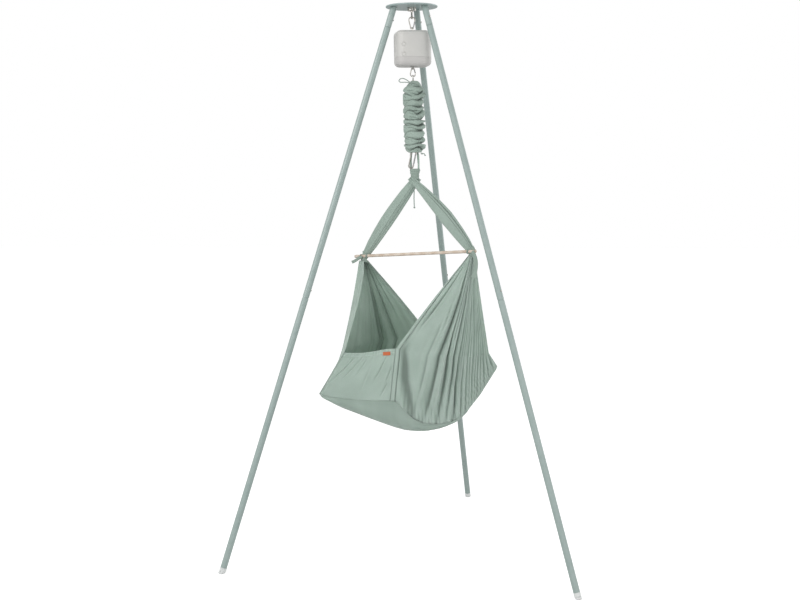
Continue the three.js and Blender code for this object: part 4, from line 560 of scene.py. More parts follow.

# %% [markdown]
# ## Cloth finishes
# The cradle is sewn from one plain woven cotton. From 4 m away the threads melt into a soft matt surface
# that is paler where light grazes it, which is what sheen does. The weave group is placed with the cloth's
# own lengths as coordinates, so threads follow the folds. Folds themselves are real geometry, made later;
# the cloth's colour is also darkened by a painted shade in folds and along seams.

# %% Woven and stitched finishes
SAGE = ((178, 195, 185), (150, 167, 157))


def cotton(name, light, dark, thread=THREAD, coordinates="UV", passes=0.0):
    """A matt cloth that still lacks its colour and bump, whose weave colour takes the painted shade
    attribute; passes says how much light shines through.
    """
    material, tree, shader = new_material(name)
    where = put(tree, "TexCoord").outputs[coordinates]
    shade_attribute = put(tree, "Attribute", attribute_name="hollow").outputs["Fac"]
    weave = use_group(tree, weave_group, Vector=where, Thread=thread, Light=linear(*light),
                      Dark=linear(*dark), Hollow=shade_attribute).outputs
    feed(shader, Roughness=0.92, Specular_IOR_Level=0.2, Sheen_Weight=0.18, Sheen_Roughness=0.5,
         Subsurface_Weight=passes, Subsurface_Radius=(1.0, 1.1, 1.0), Subsurface_Scale=0.008)
    return material, tree, shader, where, weave


def woven(name, light, dark, height=0.35, **settings):
    """A cloth of plain weave; height is how strongly its threads stand out."""
    material, tree, shader, _, weave = cotton(name, light, dark, **settings)
    feed(shader, Base_Color=weave["Color"])
    bump(tree, shader, weave["Height"], height, 0.0005)
    return material


def hemmed(name, across, along, place):
    """Sage cotton with one line of stitches at a set distance from a hem, along one of its two lengths."""
    material, tree, shader, where, weave = cotton(name, *SAGE, passes=0.6)
    parts = put(tree, "SeparateXYZ", Vector=where).outputs
    stitch = use_group(tree, stitch_group, Across=parts[across], Along=parts[along], Place=place)
    mask = stitch.outputs["Mask"]
    feed(shader, Base_Color=mixed(tree, mask, weave["Color"], linear(192, 206, 197)))
    bump(tree, shader, calc(tree, "MULTIPLY_ADD", mask, 1.5, weave["Height"]), 0.35, 0.0005)
    return material


sage_cotton = woven("sage cotton", *SAGE, passes=0.6)
# A darker copy of the sage cotton: painted shade for the binding, the tie necks, the cord turns and the
# ribbon tails
shade_cotton = woven("sage cotton binding", (166, 182, 172), (136, 152, 142))
cover_cotton = woven("sage ruched cotton", (174, 191, 181), (146, 163, 153), thread=0.0008)
cord_cotton = woven("braided cotton cord", (168, 182, 174), (132, 146, 138), height=0.8, thread=0.0012,
                    coordinates="Object")
pad_cotton = woven("quilted pad cotton", (190, 203, 195), (168, 182, 173))
tag_cotton = woven("plain orange tag", (210, 120, 82), (184, 92, 58), height=0.3, thread=0.0007,
                   coordinates="Object")
edge_cotton = hemmed("sage cotton, stitched edge", "X", "Y", 0.012)
hem_cotton = hemmed("sage cotton, stitched hem", "Y", "X", 0.013)
print("woven finishes use", weave_group.name, "and hems", stitch_group.name)

# %% [markdown]
# ## The cradle's loops
# The cloth body is built between two closed loops. The rim is where the base pocket is sewn to the walls,
# and the waist is the top hem of the low side walls. A place P on either loop runs from corner to corner:
# 0 to 1 on the near side, 1 to 2 round the right end, 2 to 3 on the far side, 3 to 4 round the left end.

# %% Rim and waist
RIM_LEFT, RIM_RIGHT, RIM_HALF = -313.0, 232.0, 168.0
RIM_CORNERS = (18.0, 64.0, 18.0, 64.0)
RIM_HEIGHTS = (584.0, 530.0, 662.0, 530.0)
RIM_SWAY = 20.0
WAIST_LEFT, WAIST_RIGHT, WAIST_HALF = -236.0, 208.0, 160.0
WAIST_CORNERS = (36.0, 86.0, 36.0, 86.0)
WAIST_HEIGHTS = (731.0, 735.0, 708.0, 735.0)
HEM_RISE = 22.0
HEM_LATENESS = 1.6
SEAM = 0.54
# How far the sewn seam rides above or below its level line: places round the rim and millimetres
SEAM_LIFTS = ((0, 0.1, 0.2, 0.3, 0.42, 0.5, 0.56, 0.6, 0.65, 0.7, 0.78, 0.9, 1.0, 1.2, 1.5, 1.8, 2.0, 4.0),
              (-4, -18, -22, -18, 0, 18, 30, 28, 9, -7, -15, -13, -5, -4, -12, -8, -5, -4))


def loop_point(p, left, right, half, corners):
    """A place on a rounded rectangle, from corner to corner."""
    p = p % 4
    side = int(p)
    share = p - side
    lengths = (right - left, half * 2, right - left, half * 2)
    starts = ((left, -half), (right, -half), (right, half), (left, half))
    ways = ((1, 0), (0, 1), (-1, 0), (0, -1))
    first, second = corners[side], corners[(side + 1) % 4]
    first_arc, second_arc = first * math.pi / 4, second * math.pi / 4
    straight = lengths[side] - first - second
    travel = share * (first_arc + straight + second_arc)
    along, inward = first + travel - first_arc, 0.0
    if travel < first_arc:
        angle = math.pi / 4 - travel / first
        along, inward = first - first * math.sin(angle), first - first * math.cos(angle)
    elif travel > first_arc + straight:
        angle = (travel - first_arc - straight) / second
        along = lengths[side] - second + second * math.sin(angle)
        inward = second - second * math.cos(angle)
    (u, v), (wu, wv) = starts[side], ways[side]
    return u + wu * along - wv * inward, v + wv * along + wu * inward


def rim(p, lifted=1.0):
    """A place on the seam between pocket and walls; lifted is the share that it keeps of its waves."""
    p = p % 4
    side, share = int(p), p - int(p)
    z = RIM_HEIGHTS[side] + (RIM_HEIGHTS[(side + 1) % 4] - RIM_HEIGHTS[side]) * share
    if side % 2 == 0:
        z -= RIM_SWAY * math.sin(math.pi * (2 * share - 1))
    z += lifted * float(np.interp(p, *SEAM_LIFTS))
    return np.array((*loop_point(p, RIM_LEFT, RIM_RIGHT, RIM_HALF, RIM_CORNERS), z))


def waist(p):
    """A place on the top hem of the walls."""
    near_left, near_right, far_right, far_left = WAIST_HEIGHTS
    hem = [a + (b - a) * SEAM + HEM_RISE for a, b in ((near_left, near_right), (far_right, far_left))]
    stops = [(0, near_left), (SEAM, hem[0]), (1, near_right), (2, far_right), (2 + SEAM, hem[1]),
             (3, far_left), (4, near_left)]
    p = p if p == 4 else p % 4
    after = next((i for i, (place, _) in enumerate(stops) if place > p), len(stops) - 1)
    (start, low), (end, high) = stops[after - 1], stops[after]
    travel = ((p - start) / (end - start)) ** (HEM_LATENESS if high > low else 1 / HEM_LATENESS)
    z = low + (high - low) * (1 - math.cos(math.pi * travel)) / 2
    return np.array((*loop_point(p, WAIST_LEFT, WAIST_RIGHT, WAIST_HALF, WAIST_CORNERS), z))


def outward(p, loop):
    """The level direction that points out of a loop."""
    ahead = loop(p + 0.006) - loop(p - 0.006)
    normal = np.array((ahead[1], -ahead[0], 0.0))
    return normal / np.linalg.norm(normal)


print("rim from", rim(0).round(), "to", rim(1).round(), "waist hem at", waist(SEAM).round())

# %% [markdown]
# ## End cloths
# Each end of the cradle is one wide cloth that is gathered to a bundle under its knot on the bar and fans
# out round the end. Its folds all start in the bundle, so they are laid as creases that run down the fan:
# each one has a place across the cloth, a depth, a width and a reach. Rounded ridges with narrow valleys
# between them read as cloth, while plain waves read as corrugated sheet.

# %% Folds listed one by one, and end cloths made from them
KNOT_REACH = 210.0
BAR_MIDDLE_Z = 1064.5
BAR_SLOPE = (1076.0 - 1053.0) / (2 * KNOT_REACH)
CLOTH = 1.7
WAIST_FALL = 0.72
HEM_BAND = 9.0
# How far the bundle under a knot lies below the middle of the bar, and its radius
BUNDLE_DROP, BUNDLE_R = 16.4, 11.5
CLOTH_WIDTH = 460.0
rng = np.random.default_rng(7)
# A crease is a line of places across the cloth at these falls, from the knot to the sewn seam
FALLS = (0.0, 0.29, 0.57, 0.72, 0.85, 1.0)


def bar_place(side, y=0.0, drop=0.0):
    """A place at a knot, -1 for the left and 1 for the right one, this far below the middle of the bar."""
    return np.array((side * KNOT_REACH, y, BAR_MIDDLE_Z + side * KNOT_REACH * BAR_SLOPE - drop))


def folds(shares, fall, creases):
    """Heights along one row of the cloth: a crease is a narrow valley with a rounded ridge on each side."""
    height = np.zeros(len(shares))
    for places, deep, width, start, end in creases:
        x = np.abs((shares - np.interp(fall, FALLS, places)) / width)
        fade = np.clip((fall - start) / 0.12, 0, 1) * np.clip((end - fall) / 0.16, 0, 1)
        height += deep * fade * (0.42 * np.exp(-((x - 1.7) / 0.8) ** 2) - np.exp(-x ** 1.5))
    return height


def ripple(share, count, seed):
    """Small even gathers with an uneven height."""
    warp = 0.35 * math.sin(share * 9 + seed) + 0.2 * math.sin(share * 23 + seed * 2)
    tall = 0.75 + 0.25 * math.sin(share * 31 + seed)
    return (abs(math.sin(math.pi * (count * share + warp))) - 0.5) * tall


def end_cloth(name, side, first, last, angles, creases, gathers, turned, shaded):
    """A cloth gathered at its knot; turned gives how far its near edge wraps round, left and to the front."""
    columns, fan, belt = 400, 64, 26
    knot_u, _, knot_z = bar_place(side, drop=BUNDLE_DROP)
    grid = np.zeros((fan + belt, columns, 3))
    heights = np.zeros((fan + belt, columns))
    falls = [WAIST_FALL * r / (fan - 1) for r in range(fan)]
    falls += [WAIST_FALL + (1 - WAIST_FALL) * (r + 1) / belt for r in range(belt)]
    folded = [folds(np.linspace(0, 1, columns), fall, creases) for fall in falls]
    for c in range(columns):
        share = c / (columns - 1)
        p = first + (last - first) * share
        angle = math.radians(angles[0] + (angles[1] - angles[0]) * share)
        low, mid = rim(p), waist(p)
        normal = outward(p, waist)
        radius = BUNDLE_R + 2.2 * math.sin(share * 40)
        top = np.array((knot_u + radius * math.cos(angle), radius * math.sin(angle), knot_z))
        control = (mid + top) / 2 + (mid - low) * 0.08
        edge = min(share, 1 - share)
        for r in range(fan + belt):
            if r < fan:
                t = r / (fan - 1)
                point = top * (1 - t) ** 2 + 2 * control * t * (1 - t) + mid * t ** 2
                fall = WAIST_FALL * t
                spread = 0.2 + 0.8 * min(1.0, 1.25 * t)
                height = 0.8 * ripple(share, 13, side) * min(1.0, t * 1.4) * (1 - 0.5 * t)
            else:
                t = (r - fan + 1) / belt
                point = mid + (low - mid) * t
                fall = WAIST_FALL + (1 - WAIST_FALL) * t
                spread = 1 - 0.8 * t ** 2.4
                height = gathers(share) * max(0.0, 1 - (1 - t) / 0.5) * (1.0 if t < 1 else 0.5)
            point = point + turned(share, fall)
            height += folded[r][c] * spread
            height *= min(1.0, edge * 22)
            band = edge * CLOTH_WIDTH * (0.3 + 0.7 * min(1.0, t if r < fan else 1.0))
            height += 1.2 if band < HEM_BAND * 0.8 else (-4.0 if band < HEM_BAND * 1.2 else 0.0)
            heights[r, c] = height
            grid[r, c] = point + normal * height
        grid[-1, c, 2] += 0.6
    shares, fallen = np.meshgrid(np.linspace(0, 1, columns), falls)
    deep, outer_shade, inner_shade = shaded(shares, fallen)
    # Painted shade in the folds' valleys, plus the painted shade that the shaded function gives
    end_fold_shade = painted_fold_shades(heights, 12, 3.2, swapped=True) + 0.5 * painted_fold_shades(heights, 44, 7.0, swapped=True)
    shade = deep * end_fold_shade + both(inner_shade, outer_shade)
    return sheet_from(name, placed(grid, SLING_TURN), CLOTH / 1000, edge_cotton, "cradle", hollow=shade)


def right_shade(share, fall):
    """Painted shade where the wall turns in behind its front seam, along its hem, and low down at its far
    side, which falls away from the light.
    """
    behind = np.interp(fall, (0.6, 0.85, 1.0), (0.035, 0.05, 0.1))
    seam = 0.7 * np.exp(-((share - behind) / 0.035) ** 2) * np.clip((fall - 0.6) / 0.2, 0, 1)
    low = 0.3 * np.clip((share - 0.4) / 0.3, 0, 1) * np.clip((fall - 0.4) / 0.4, 0, 1)
    hem = 0.8 * np.exp(-((share - 0.030) / 0.006) ** 2) * np.clip((0.8 - fall) / 0.2, 0, 1)
    return 0.62, seam + low + hem, 0 * share


def left_shade(share, fall):
    """Painted shade on the inner face: light comes through this wall from behind, so its folds keep a paler
    painted shade, darkest right under the knot.
    """
    knot_painted_shade = 0.75 * np.exp(-(fall / 0.16) ** 2) * np.clip((0.78 - share) / 0.1, 0, 1)
    return 0.8, 0 * share, knot_painted_shade


def side_curl(share, fall):
    """The near edge of the left cloth rolls round to the front, so its outer face shows as a strip."""
    reach = float(np.interp(fall, (0, 0.1, 0.3, 0.5, 0.72, 0.86, 1.0), (0.3, 0.75, 1.0, 1.0, 0.9, 0.5, 0)))
    stand = float(np.interp(fall, (0, 0.3, 0.5, 0.72, 0.86, 1.0), (0.3, 0.8, 1.2, 1.7, 1.0, 0)))
    roll = np.clip((share - 0.79) / 0.21, 0, 1)
    back = math.exp(-((share - 0.82) / 0.08) ** 2) + 0.35 * roll
    return np.array((-14.0 * back * stand + 34.0 * roll ** 1.4 * reach, -14.0 * roll * reach, 0.0))


def no_curl(share, fall):
    """The near edge of the right cloth lies flat."""
    return np.zeros(3)


# Each crease: its places at each fall, depth, width, start and end
RIGHT_CREASES = [
    ((0.14, 0.10, 0.055, 0.05, 0.04, 0.04), 9.0, 0.013, -0.2, 0.6),
    ((0.22, 0.2, 0.2, 0.19, 0.15, 0.11), 3.0, 0.012, 0.45, 1.1),
    ((0.24, 0.24, 0.235, 0.225, 0.18, 0.13), 4.0, 0.010, 0.35, 1.2),
    ((0.30, 0.305, 0.275, 0.258, 0.205, 0.15), 18.0, 0.019, -0.2, 1.12),
    ((0.33, 0.325, 0.292, 0.282, 0.237, 0.186), 6.0, 0.008, 0.0, 1.2),
    ((0.36, 0.345, 0.312, 0.306, 0.268, 0.222), 15.0, 0.011, -0.2, 1.2),
    ((0.385, 0.37, 0.334, 0.326, 0.284, 0.24), 6.0, 0.008, 0.1, 1.2),
    ((0.405, 0.395, 0.368, 0.355, 0.304, 0.265), 9.0, 0.009, 0.0, 1.2),
    ((0.43, 0.43, 0.42, 0.405, 0.34, 0.30), 19.0, 0.012, -0.2, 1.2),
    ((0.455, 0.455, 0.445, 0.43, 0.362, 0.318), 7.0, 0.008, 0.1, 1.2),
    ((0.48, 0.485, 0.485, 0.465, 0.393, 0.345), 8.0, 0.010, 0.1, 1.2),
    ((0.52, 0.54, 0.55, 0.53, 0.455, 0.39), 12.0, 0.012, -0.1, 1.2),
    ((0.55, 0.575, 0.60, 0.585, 0.505, 0.435), 7.0, 0.010, 0.0, 1.2),
    ((0.60, 0.62, 0.655, 0.645, 0.56, 0.49), 9.0, 0.013, 0.0, 1.2),
    ((0.64, 0.66, 0.70, 0.69, 0.61, 0.535), 6.0, 0.010, 0.1, 1.2),
    ((0.68, 0.70, 0.745, 0.74, 0.66, 0.59), 10.0, 0.013, -0.1, 1.2),
    ((0.74, 0.75, 0.79, 0.79, 0.72, 0.65), 6.0, 0.010, 0.1, 1.2),
    ((0.80, 0.81, 0.83, 0.835, 0.79, 0.73), 9.0, 0.014, -0.1, 1.1),
    ((0.87, 0.87, 0.88, 0.885, 0.86, 0.82), 6.0, 0.012, -0.1, 1.1),
    ((0.93, 0.93, 0.935, 0.94, 0.93, 0.92), 8.0, 0.014, -0.1, 1.0),
    ((0.045, 0.045, 0.045, 0.045, 0.06, 0.11), 12.0, 0.034, 0.66, 1.3),
]
LEFT_CREASES = [
    ((0.10, 0.10, 0.11, 0.12, 0.12, 0.12), -5.0, 0.020, -0.1, 1.0),
    ((0.17, 0.165, 0.17, 0.175, 0.18, 0.18), -6.0, 0.010, -0.2, 0.55),
    ((0.25, 0.245, 0.24, 0.235, 0.23, 0.23), -9.0, 0.008, -0.2, 1.2),
    ((0.34, 0.33, 0.32, 0.315, 0.31, 0.31), -11.0, 0.009, -0.2, 1.2),
    ((0.37, 0.36, 0.355, 0.35, 0.35, 0.35), -6.0, 0.008, -0.1, 0.9),
    ((0.43, 0.42, 0.43, 0.44, 0.44, 0.44), -5.0, 0.012, 0.0, 0.9),
    ((0.52, 0.51, 0.52, 0.53, 0.53, 0.53), -4.0, 0.022, -0.2, 0.8),
    ((0.66, 0.66, 0.67, 0.68, 0.68, 0.68), -4.0, 0.026, -0.1, 0.9),
]
SEAM_STEP = 0.0016
KNOT_CUT = 450.0


def wall_cut(first, last, side):
    """The cut of a wall: its seam by its longest fall, which at an end runs up to a knot KNOT_CUT wide."""
    knot = bar_place(side, drop=BUNDLE_DROP)
    falls = [np.linalg.norm(waist(p) - rim(p)) + (np.linalg.norm(waist(p) - knot) if side else 0)
             for p in np.linspace(first, last, 60)]
    seam = run_of([rim(p) for p in np.linspace(first, last, 300)])
    top = KNOT_CUT if side else seam
    return (seam / 1000, max(falls) / 1000), (seam + top) / 2 * float(np.mean(falls)) / 1e6


def declare_wall(cloth, made, node, first, last, support, side=0):
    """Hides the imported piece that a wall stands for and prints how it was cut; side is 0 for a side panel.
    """
    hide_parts(node)
    cut, cut_area = wall_cut(first, last, side)
    print(cloth.name, "cut", [round(x, 3) for x in cut], round(cut_area, 4), "m2, made", round(made, 4), "m2")


right_end = end_cloth(
    "right_end_cloth_soft", 1, SEAM + SEAM_STEP, 2 - SEAM_STEP, (-150, 80), RIGHT_CREASES,
    lambda share: 3.6 * ripple(share, 58, 1) * min(1, max(0.0, share - 0.02) / 0.05), no_curl, right_shade)
left_end = end_cloth(
    "left_end_cloth_soft", -1, 2 + SEAM + SEAM_STEP, 4 - SEAM_STEP, (30, 275), LEFT_CREASES,
    lambda share: 3.2 * ripple(share, 54, 2) * min(1, (1 - share) / 0.1), side_curl, left_shade)
declare_wall(*right_end, "right_end_cloth", SEAM, 2, "spreader_bar", 1)
declare_wall(*left_end, "left_end_cloth", 2 + SEAM, 4, "spreader_bar", -1)

# %% [markdown]
# ## Stitched side panels
# The low side walls are flat panels whose top hem is a casing that draws them in. Drawn-in cloth puckers
# most at the hem and smooths out within a hand's width, so the gathers fade down the panel. A few soft
# slanting drags run to the corners, where the weight pulls.

# %% Side panels


def drag_lines(share, fall, lines):
    """Narrow slanting folds: each runs from (share, fall) to (share, fall), with a depth and a width."""
    height = 0.0
    for (s0, f0), (s1, f1), deep, width in lines:
        way = np.array((s1 - s0, (f1 - f0) * 0.6))
        here = np.array((share - s0, (fall - f0) * 0.6))
        off = (here[0] * way[1] - here[1] * way[0]) / np.linalg.norm(way) / width
        ends = math.sin(math.pi * np.clip(0.08 + 0.84 * (here @ way) / (way @ way), 0, 1))
        height += deep * ends * (0.5 * math.exp(-((off - 1.4) / 0.9) ** 2) - math.exp(-off * off))
    return height


NEAR_DRAGS = [
    ((0.27, 0.06), (0.07, 0.62), 4.0, 0.016), ((0.40, 0.10), (0.22, 0.55), 3.0, 0.018),
    ((0.86, 0.10), (0.72, 0.62), 3.5, 0.015), ((0.52, 0.08), (0.40, 0.5), 2.2, 0.014),
    ((0.93, 0.62), (0.86, 0.88), 4.0, 0.012), ((0.97, 0.30), (0.90, 0.66), 3.0, 0.012),
    ((0.06, 0.55), (0.03, 0.95), 2.0, 0.010), ((0.62, 0.2), (0.56, 0.75), 1.6, 0.02),
]
FAR_DRAGS = [
    ((0.72, 0.08), (0.9, 0.66), 3.5, 0.016), ((0.5, 0.1), (0.66, 0.6), 3.0, 0.018),
    ((0.2, 0.1), (0.34, 0.7), 3.0, 0.016),
]
# Gathers along the drawn-in hem: how many, how deep, and the share of the fall over which they fade
PUCKERS, PUCKER_DEPTH, PUCKER_FALL = 17, 3.4, 0.16


def side_panel(name, top_places, low_places, seed, lines):
    """A low wall between two places on the waist and two on the rim."""
    columns, rows = 170, 56
    grid = np.zeros((rows, columns, 3))
    heights = np.zeros((rows, columns))
    for c in range(columns):
        share = c / (columns - 1)
        high = waist(top_places[0] + (top_places[1] - top_places[0]) * share)
        p = low_places[0] + (low_places[1] - low_places[0]) * share
        low = rim(p)
        normal = outward(p, rim)
        window = min(1.0, math.sin(math.pi * share) * 8)
        for r in range(rows):
            fall = r / (rows - 1)
            pucker = PUCKER_DEPTH * ripple(share, PUCKERS, seed) * math.exp(-fall / PUCKER_FALL)
            slack = 2.0 * math.sin(2 * math.pi * (1.3 * share + 0.4 * fall + seed)) * math.sin(math.pi * fall)
            belly = 9.0 * math.sin(math.pi * min(1.0, share * 1.05)) ** 0.8 * math.sin(math.pi * fall) ** 1.2
            casing = 1.0 if fall < 0.09 else (-1.2 if fall < 0.12 else 0.0)
            height = (pucker + slack + drag_lines(share, fall, lines)) * window + casing
            heights[r, c] = height
            grid[r, c] = high + (low - high) * fall + normal * (height + belly * window)
        grid[-1, c, 2] += 0.6
    places = np.linspace(0, 1, columns)
    # Painted shade in narrow lines along both ends of the panel, where it meets the end cloths, and in the
    # puckers' valleys
    seams = 1.1 * np.exp(-(places / 0.014) ** 2) + 0.8 * np.exp(-((1 - places) / 0.012) ** 2)
    seams = np.ones((rows, 1)) * seams
    return sheet_from(name, placed(grid, SLING_TURN), CLOTH / 1000, hem_cotton, "cradle",
                      hollow=painted_fold_shades(heights, 7, 6.0, swapped=True) + both(0 * seams, seams))


for node, first, top_start, seed, lines in (("near_side_panel", 0, 0.055, 1, NEAR_DRAGS),
                                            ("far_side_panel", 2, 2 + SEAM_STEP, 4, FAR_DRAGS)):
    end = first + SEAM - SEAM_STEP
    panel = side_panel(node + "_soft", (top_start, end), (first + SEAM_STEP, end), seed, lines)
    declare_wall(*panel, node, first, first + SEAM, "base_pocket_soft")

# %% [markdown]
# ## Base pocket
# Under the walls the baby's weight and the pad rest in a shallow bowl of the same cotton. It is sewn to the
# walls all round the rim, so the seam puckers a little, and its underside is taut with a few slack drags.

# %% Base pocket
TRAY_U, TRAY_HALF = (RIM_LEFT + RIM_RIGHT) / 2, (RIM_RIGHT - RIM_LEFT) / 2
TRAY_Z = sum(RIM_HEIGHTS) / 4
POCKET_DEPTH, POCKET_END, POCKET_LEAN, POCKET_SHIFT = 82.0, 12.0, 0.45, 0.14
POCKET_THICKNESS = 0.0018


def tray_point(p, share):
    """A place in the pocket: p round its rim, share from its middle outwards."""
    edge = rim(p, share ** 22)
    u, v = TRAY_U + (edge[0] - TRAY_U) * share, edge[1] * share
    level_z = TRAY_Z + (edge[2] - TRAY_Z) * share ** 2
    a, b = (u - TRAY_U) / TRAY_HALF, v / RIM_HALF
    depth = POCKET_DEPTH * (1 - a * a) * (1 + POCKET_LEAN * a * b + POCKET_SHIFT * a) + POCKET_END
    return np.array((u, v, level_z - max(depth, 0) * (1 - share ** 4) ** 0.25))


def bowl_from(name, rings, thickness, material, body, hollow=None):
    """A closed-loop sheet: rings of points from the middle outwards, with both faces and a sewn rim."""
    rows, count = rings.shape[:2]
    normal = np.cross(np.roll(rings, -1, 1) - np.roll(rings, 1, 1), np.gradient(rings, axis=0))
    if normal[rows // 2, :, 2].mean() > 0:
        normal = -normal
    total = rows * count
    faces = shell_faces(rows, count, [list(range(total - 1, total - count - 1, -1))], closed=True)
    faces += [tuple(range(count - 1, -1, -1)), tuple(range(total, total + count))]
    flat = rings[..., :2].reshape(-1, 2)
    thing = mesh_from(name, two_layers(rings, normal, thickness), faces, material, body,
                      uv=np.vstack([flat, flat]), hollow=hollow)
    return thing, 0.5 * sum(p.area for p in thing.data.polygons)


POCKET_COLUMNS, POCKET_ROWS = 260, 44
rings = np.zeros((POCKET_ROWS, POCKET_COLUMNS, 3))
pocket_painted_shade = np.zeros((POCKET_ROWS, POCKET_COLUMNS))
POCKET_DRAGS = [((0.16, 0.98), (0.30, 0.86), 3.0, 0.012), ((0.24, 0.98), (0.36, 0.84), 2.6, 0.010),
                ((0.33, 0.97), (0.42, 0.88), 2.2, 0.010), ((0.55, 0.98), (0.66, 0.86), 2.6, 0.012),
                ((0.74, 0.97), (0.82, 0.84), 2.6, 0.012)]
for c in range(POCKET_COLUMNS):
    p = 4 * c / POCKET_COLUMNS
    for r in range(POCKET_ROWS):
        share = 0.03 + 0.97 * (r / (POCKET_ROWS - 1)) ** 0.8
        point = tray_point(p, share)
        u, v = point[0] / 100, point[1] / 100
        drag = 1.5 * math.sin(1.7 * u + 2.6 * v + 0.8 * math.sin(1.1 * u)) * math.sin(math.pi * share)
        drag += 0.8 * math.sin(4.3 * u - 3.1 * v) * math.sin(math.pi * share) ** 2
        pucker = 1.3 * ripple(p / 4, 96, 3) * max(0.0, (share - 0.86) / 0.14)
        wrinkle = drag_lines(p, share, POCKET_DRAGS) if p < 1 and share > 0.7 else 0.0
        # Painted shade over the whole pocket, varied a little along its drag wrinkles
        pocket_painted_shade[r, c] = 0.30 - 0.12 * wrinkle
        if share < 1:
            point[2] += drag + pucker - wrinkle
        rings[r, c] = point
pocket, pocket_area = bowl_from("base_pocket_soft", placed(rings, SLING_TURN), POCKET_THICKNESS, sage_cotton,
                                "cradle", hollow=both(pocket_painted_shade, 0 * pocket_painted_shade))
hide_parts("base_pocket")
pocket_across, pocket_along = [
    sum(run_of([tray_point(p, t) for t in np.linspace(0, 1, 60)]) for p in pair) / 1000
    for pair in ((0.5, 2.5), (1.5, 3.5))]
print("base pocket", round(pocket_area, 3), "m2")

# %% [markdown]
# ## The pad
# A thin foam pad lies in the pocket. Foam in a sewn cover bulges between its seams, which a short cloth
# simulation with a little pressure gives for free. The pad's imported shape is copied, shrunk a little,
# remeshed evenly, inflated for a few frames, and held back wherever it would leave its place.

# %% Pad, inflated by a short simulation
PAD_VOXEL, PAD_CAP = 0.006, 0.004
PAD_SHRINK, PAD_PRESSURE, PAD_FRAMES = 0.975, 4.0, 12
source = nodes["mattress"]
pad = bpy.data.objects.new("mattress_soft", source.data.copy())
bpy.context.collection.objects.link(pad)
pad.data.materials.clear()
pad.data.materials.append(pad_cotton)
middle = sum((v.co for v in pad.data.vertices), Vector()) / len(pad.data.vertices)
for v in pad.data.vertices:
    v.co = middle + (v.co - middle) * PAD_SHRINK


def apply_modifiers(thing):
    """Replaces a mesh by what its modifiers make of it now."""
    held = bpy.context.evaluated_depsgraph_get()
    held.update()
    made = bpy.data.meshes.new_from_object(thing.evaluated_get(held))
    thing.modifiers.clear()
    thing.data = made


even = pad.modifiers.new("even", "REMESH")
even.mode, even.voxel_size, even.use_smooth_shade = "VOXEL", PAD_VOXEL, True
apply_modifiers(pad)
rest = np.array([v.co for v in pad.data.vertices])
soft = pad.modifiers.new("inflate", "CLOTH")
soft.settings.use_pressure = True
soft.settings.uniform_pressure_force = PAD_PRESSURE
soft.settings.effector_weights.gravity = 0.0
soft.settings.quality = 4
soft.point_cache.frame_start, soft.point_cache.frame_end = 1, PAD_FRAMES
for step in range(1, PAD_FRAMES + 1):
    bpy.context.scene.frame_set(step)
apply_modifiers(pad)
bpy.context.scene.frame_set(1)
now = np.array([v.co for v in pad.data.vertices])
if len(now) == len(rest):
    move = now - rest
    length = np.linalg.norm(move, axis=1, keepdims=True)
    now = rest + move * np.minimum(1.0, PAD_CAP / np.maximum(length, 1e-9))
for v, place in zip(pad.data.vertices, now):
    v.co = place
finer = pad.modifiers.new("finer", "SUBSURF")
finer.levels = finer.render_levels = 1
apply_modifiers(pad)
pad.data.polygons.foreach_set("use_smooth", [True] * len(pad.data.polygons))
pad.data.materials.clear()
pad.data.materials.append(pad_cotton)
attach(pad, "cradle")
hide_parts("mattress")
print("pad has", len(pad.data.polygons), "faces")

# %% [markdown]
# ## Straps
# Each strap is a wide strip folded lengthwise, so from the front it shows a broad face with one edge turned
# back, and it narrows where it is bound at both ends. Its cross-section is drawn once as a line across and
# into the fold, and that line is carried along from the bar to the crossing.

# %% Straps from the bar to the crossing
APEX_Z, APEX_SHIFT, STRAP_CROSS, STRAP_OFFSET = 1322.0, -5.0, 5.0, 8.0
# How far a strap runs past the crossing, and the share of it that is gathered at each end
STRAP_END, STRAP_GATHER = 1.02, 0.14
LEFT_WIDTHS = ((0, 0.03, 0.16, 0.3, 0.44, 0.58, 0.8, 0.89, 1.02), (20, 23, 35, 41, 45, 45, 39, 33, 26))
RIGHT_WIDTHS = ((0, 0.02, 0.12, 0.26, 0.46, 0.65, 0.85, 0.95, 1.02), (21, 23, 35, 43, 49, 41, 28, 20, 19))


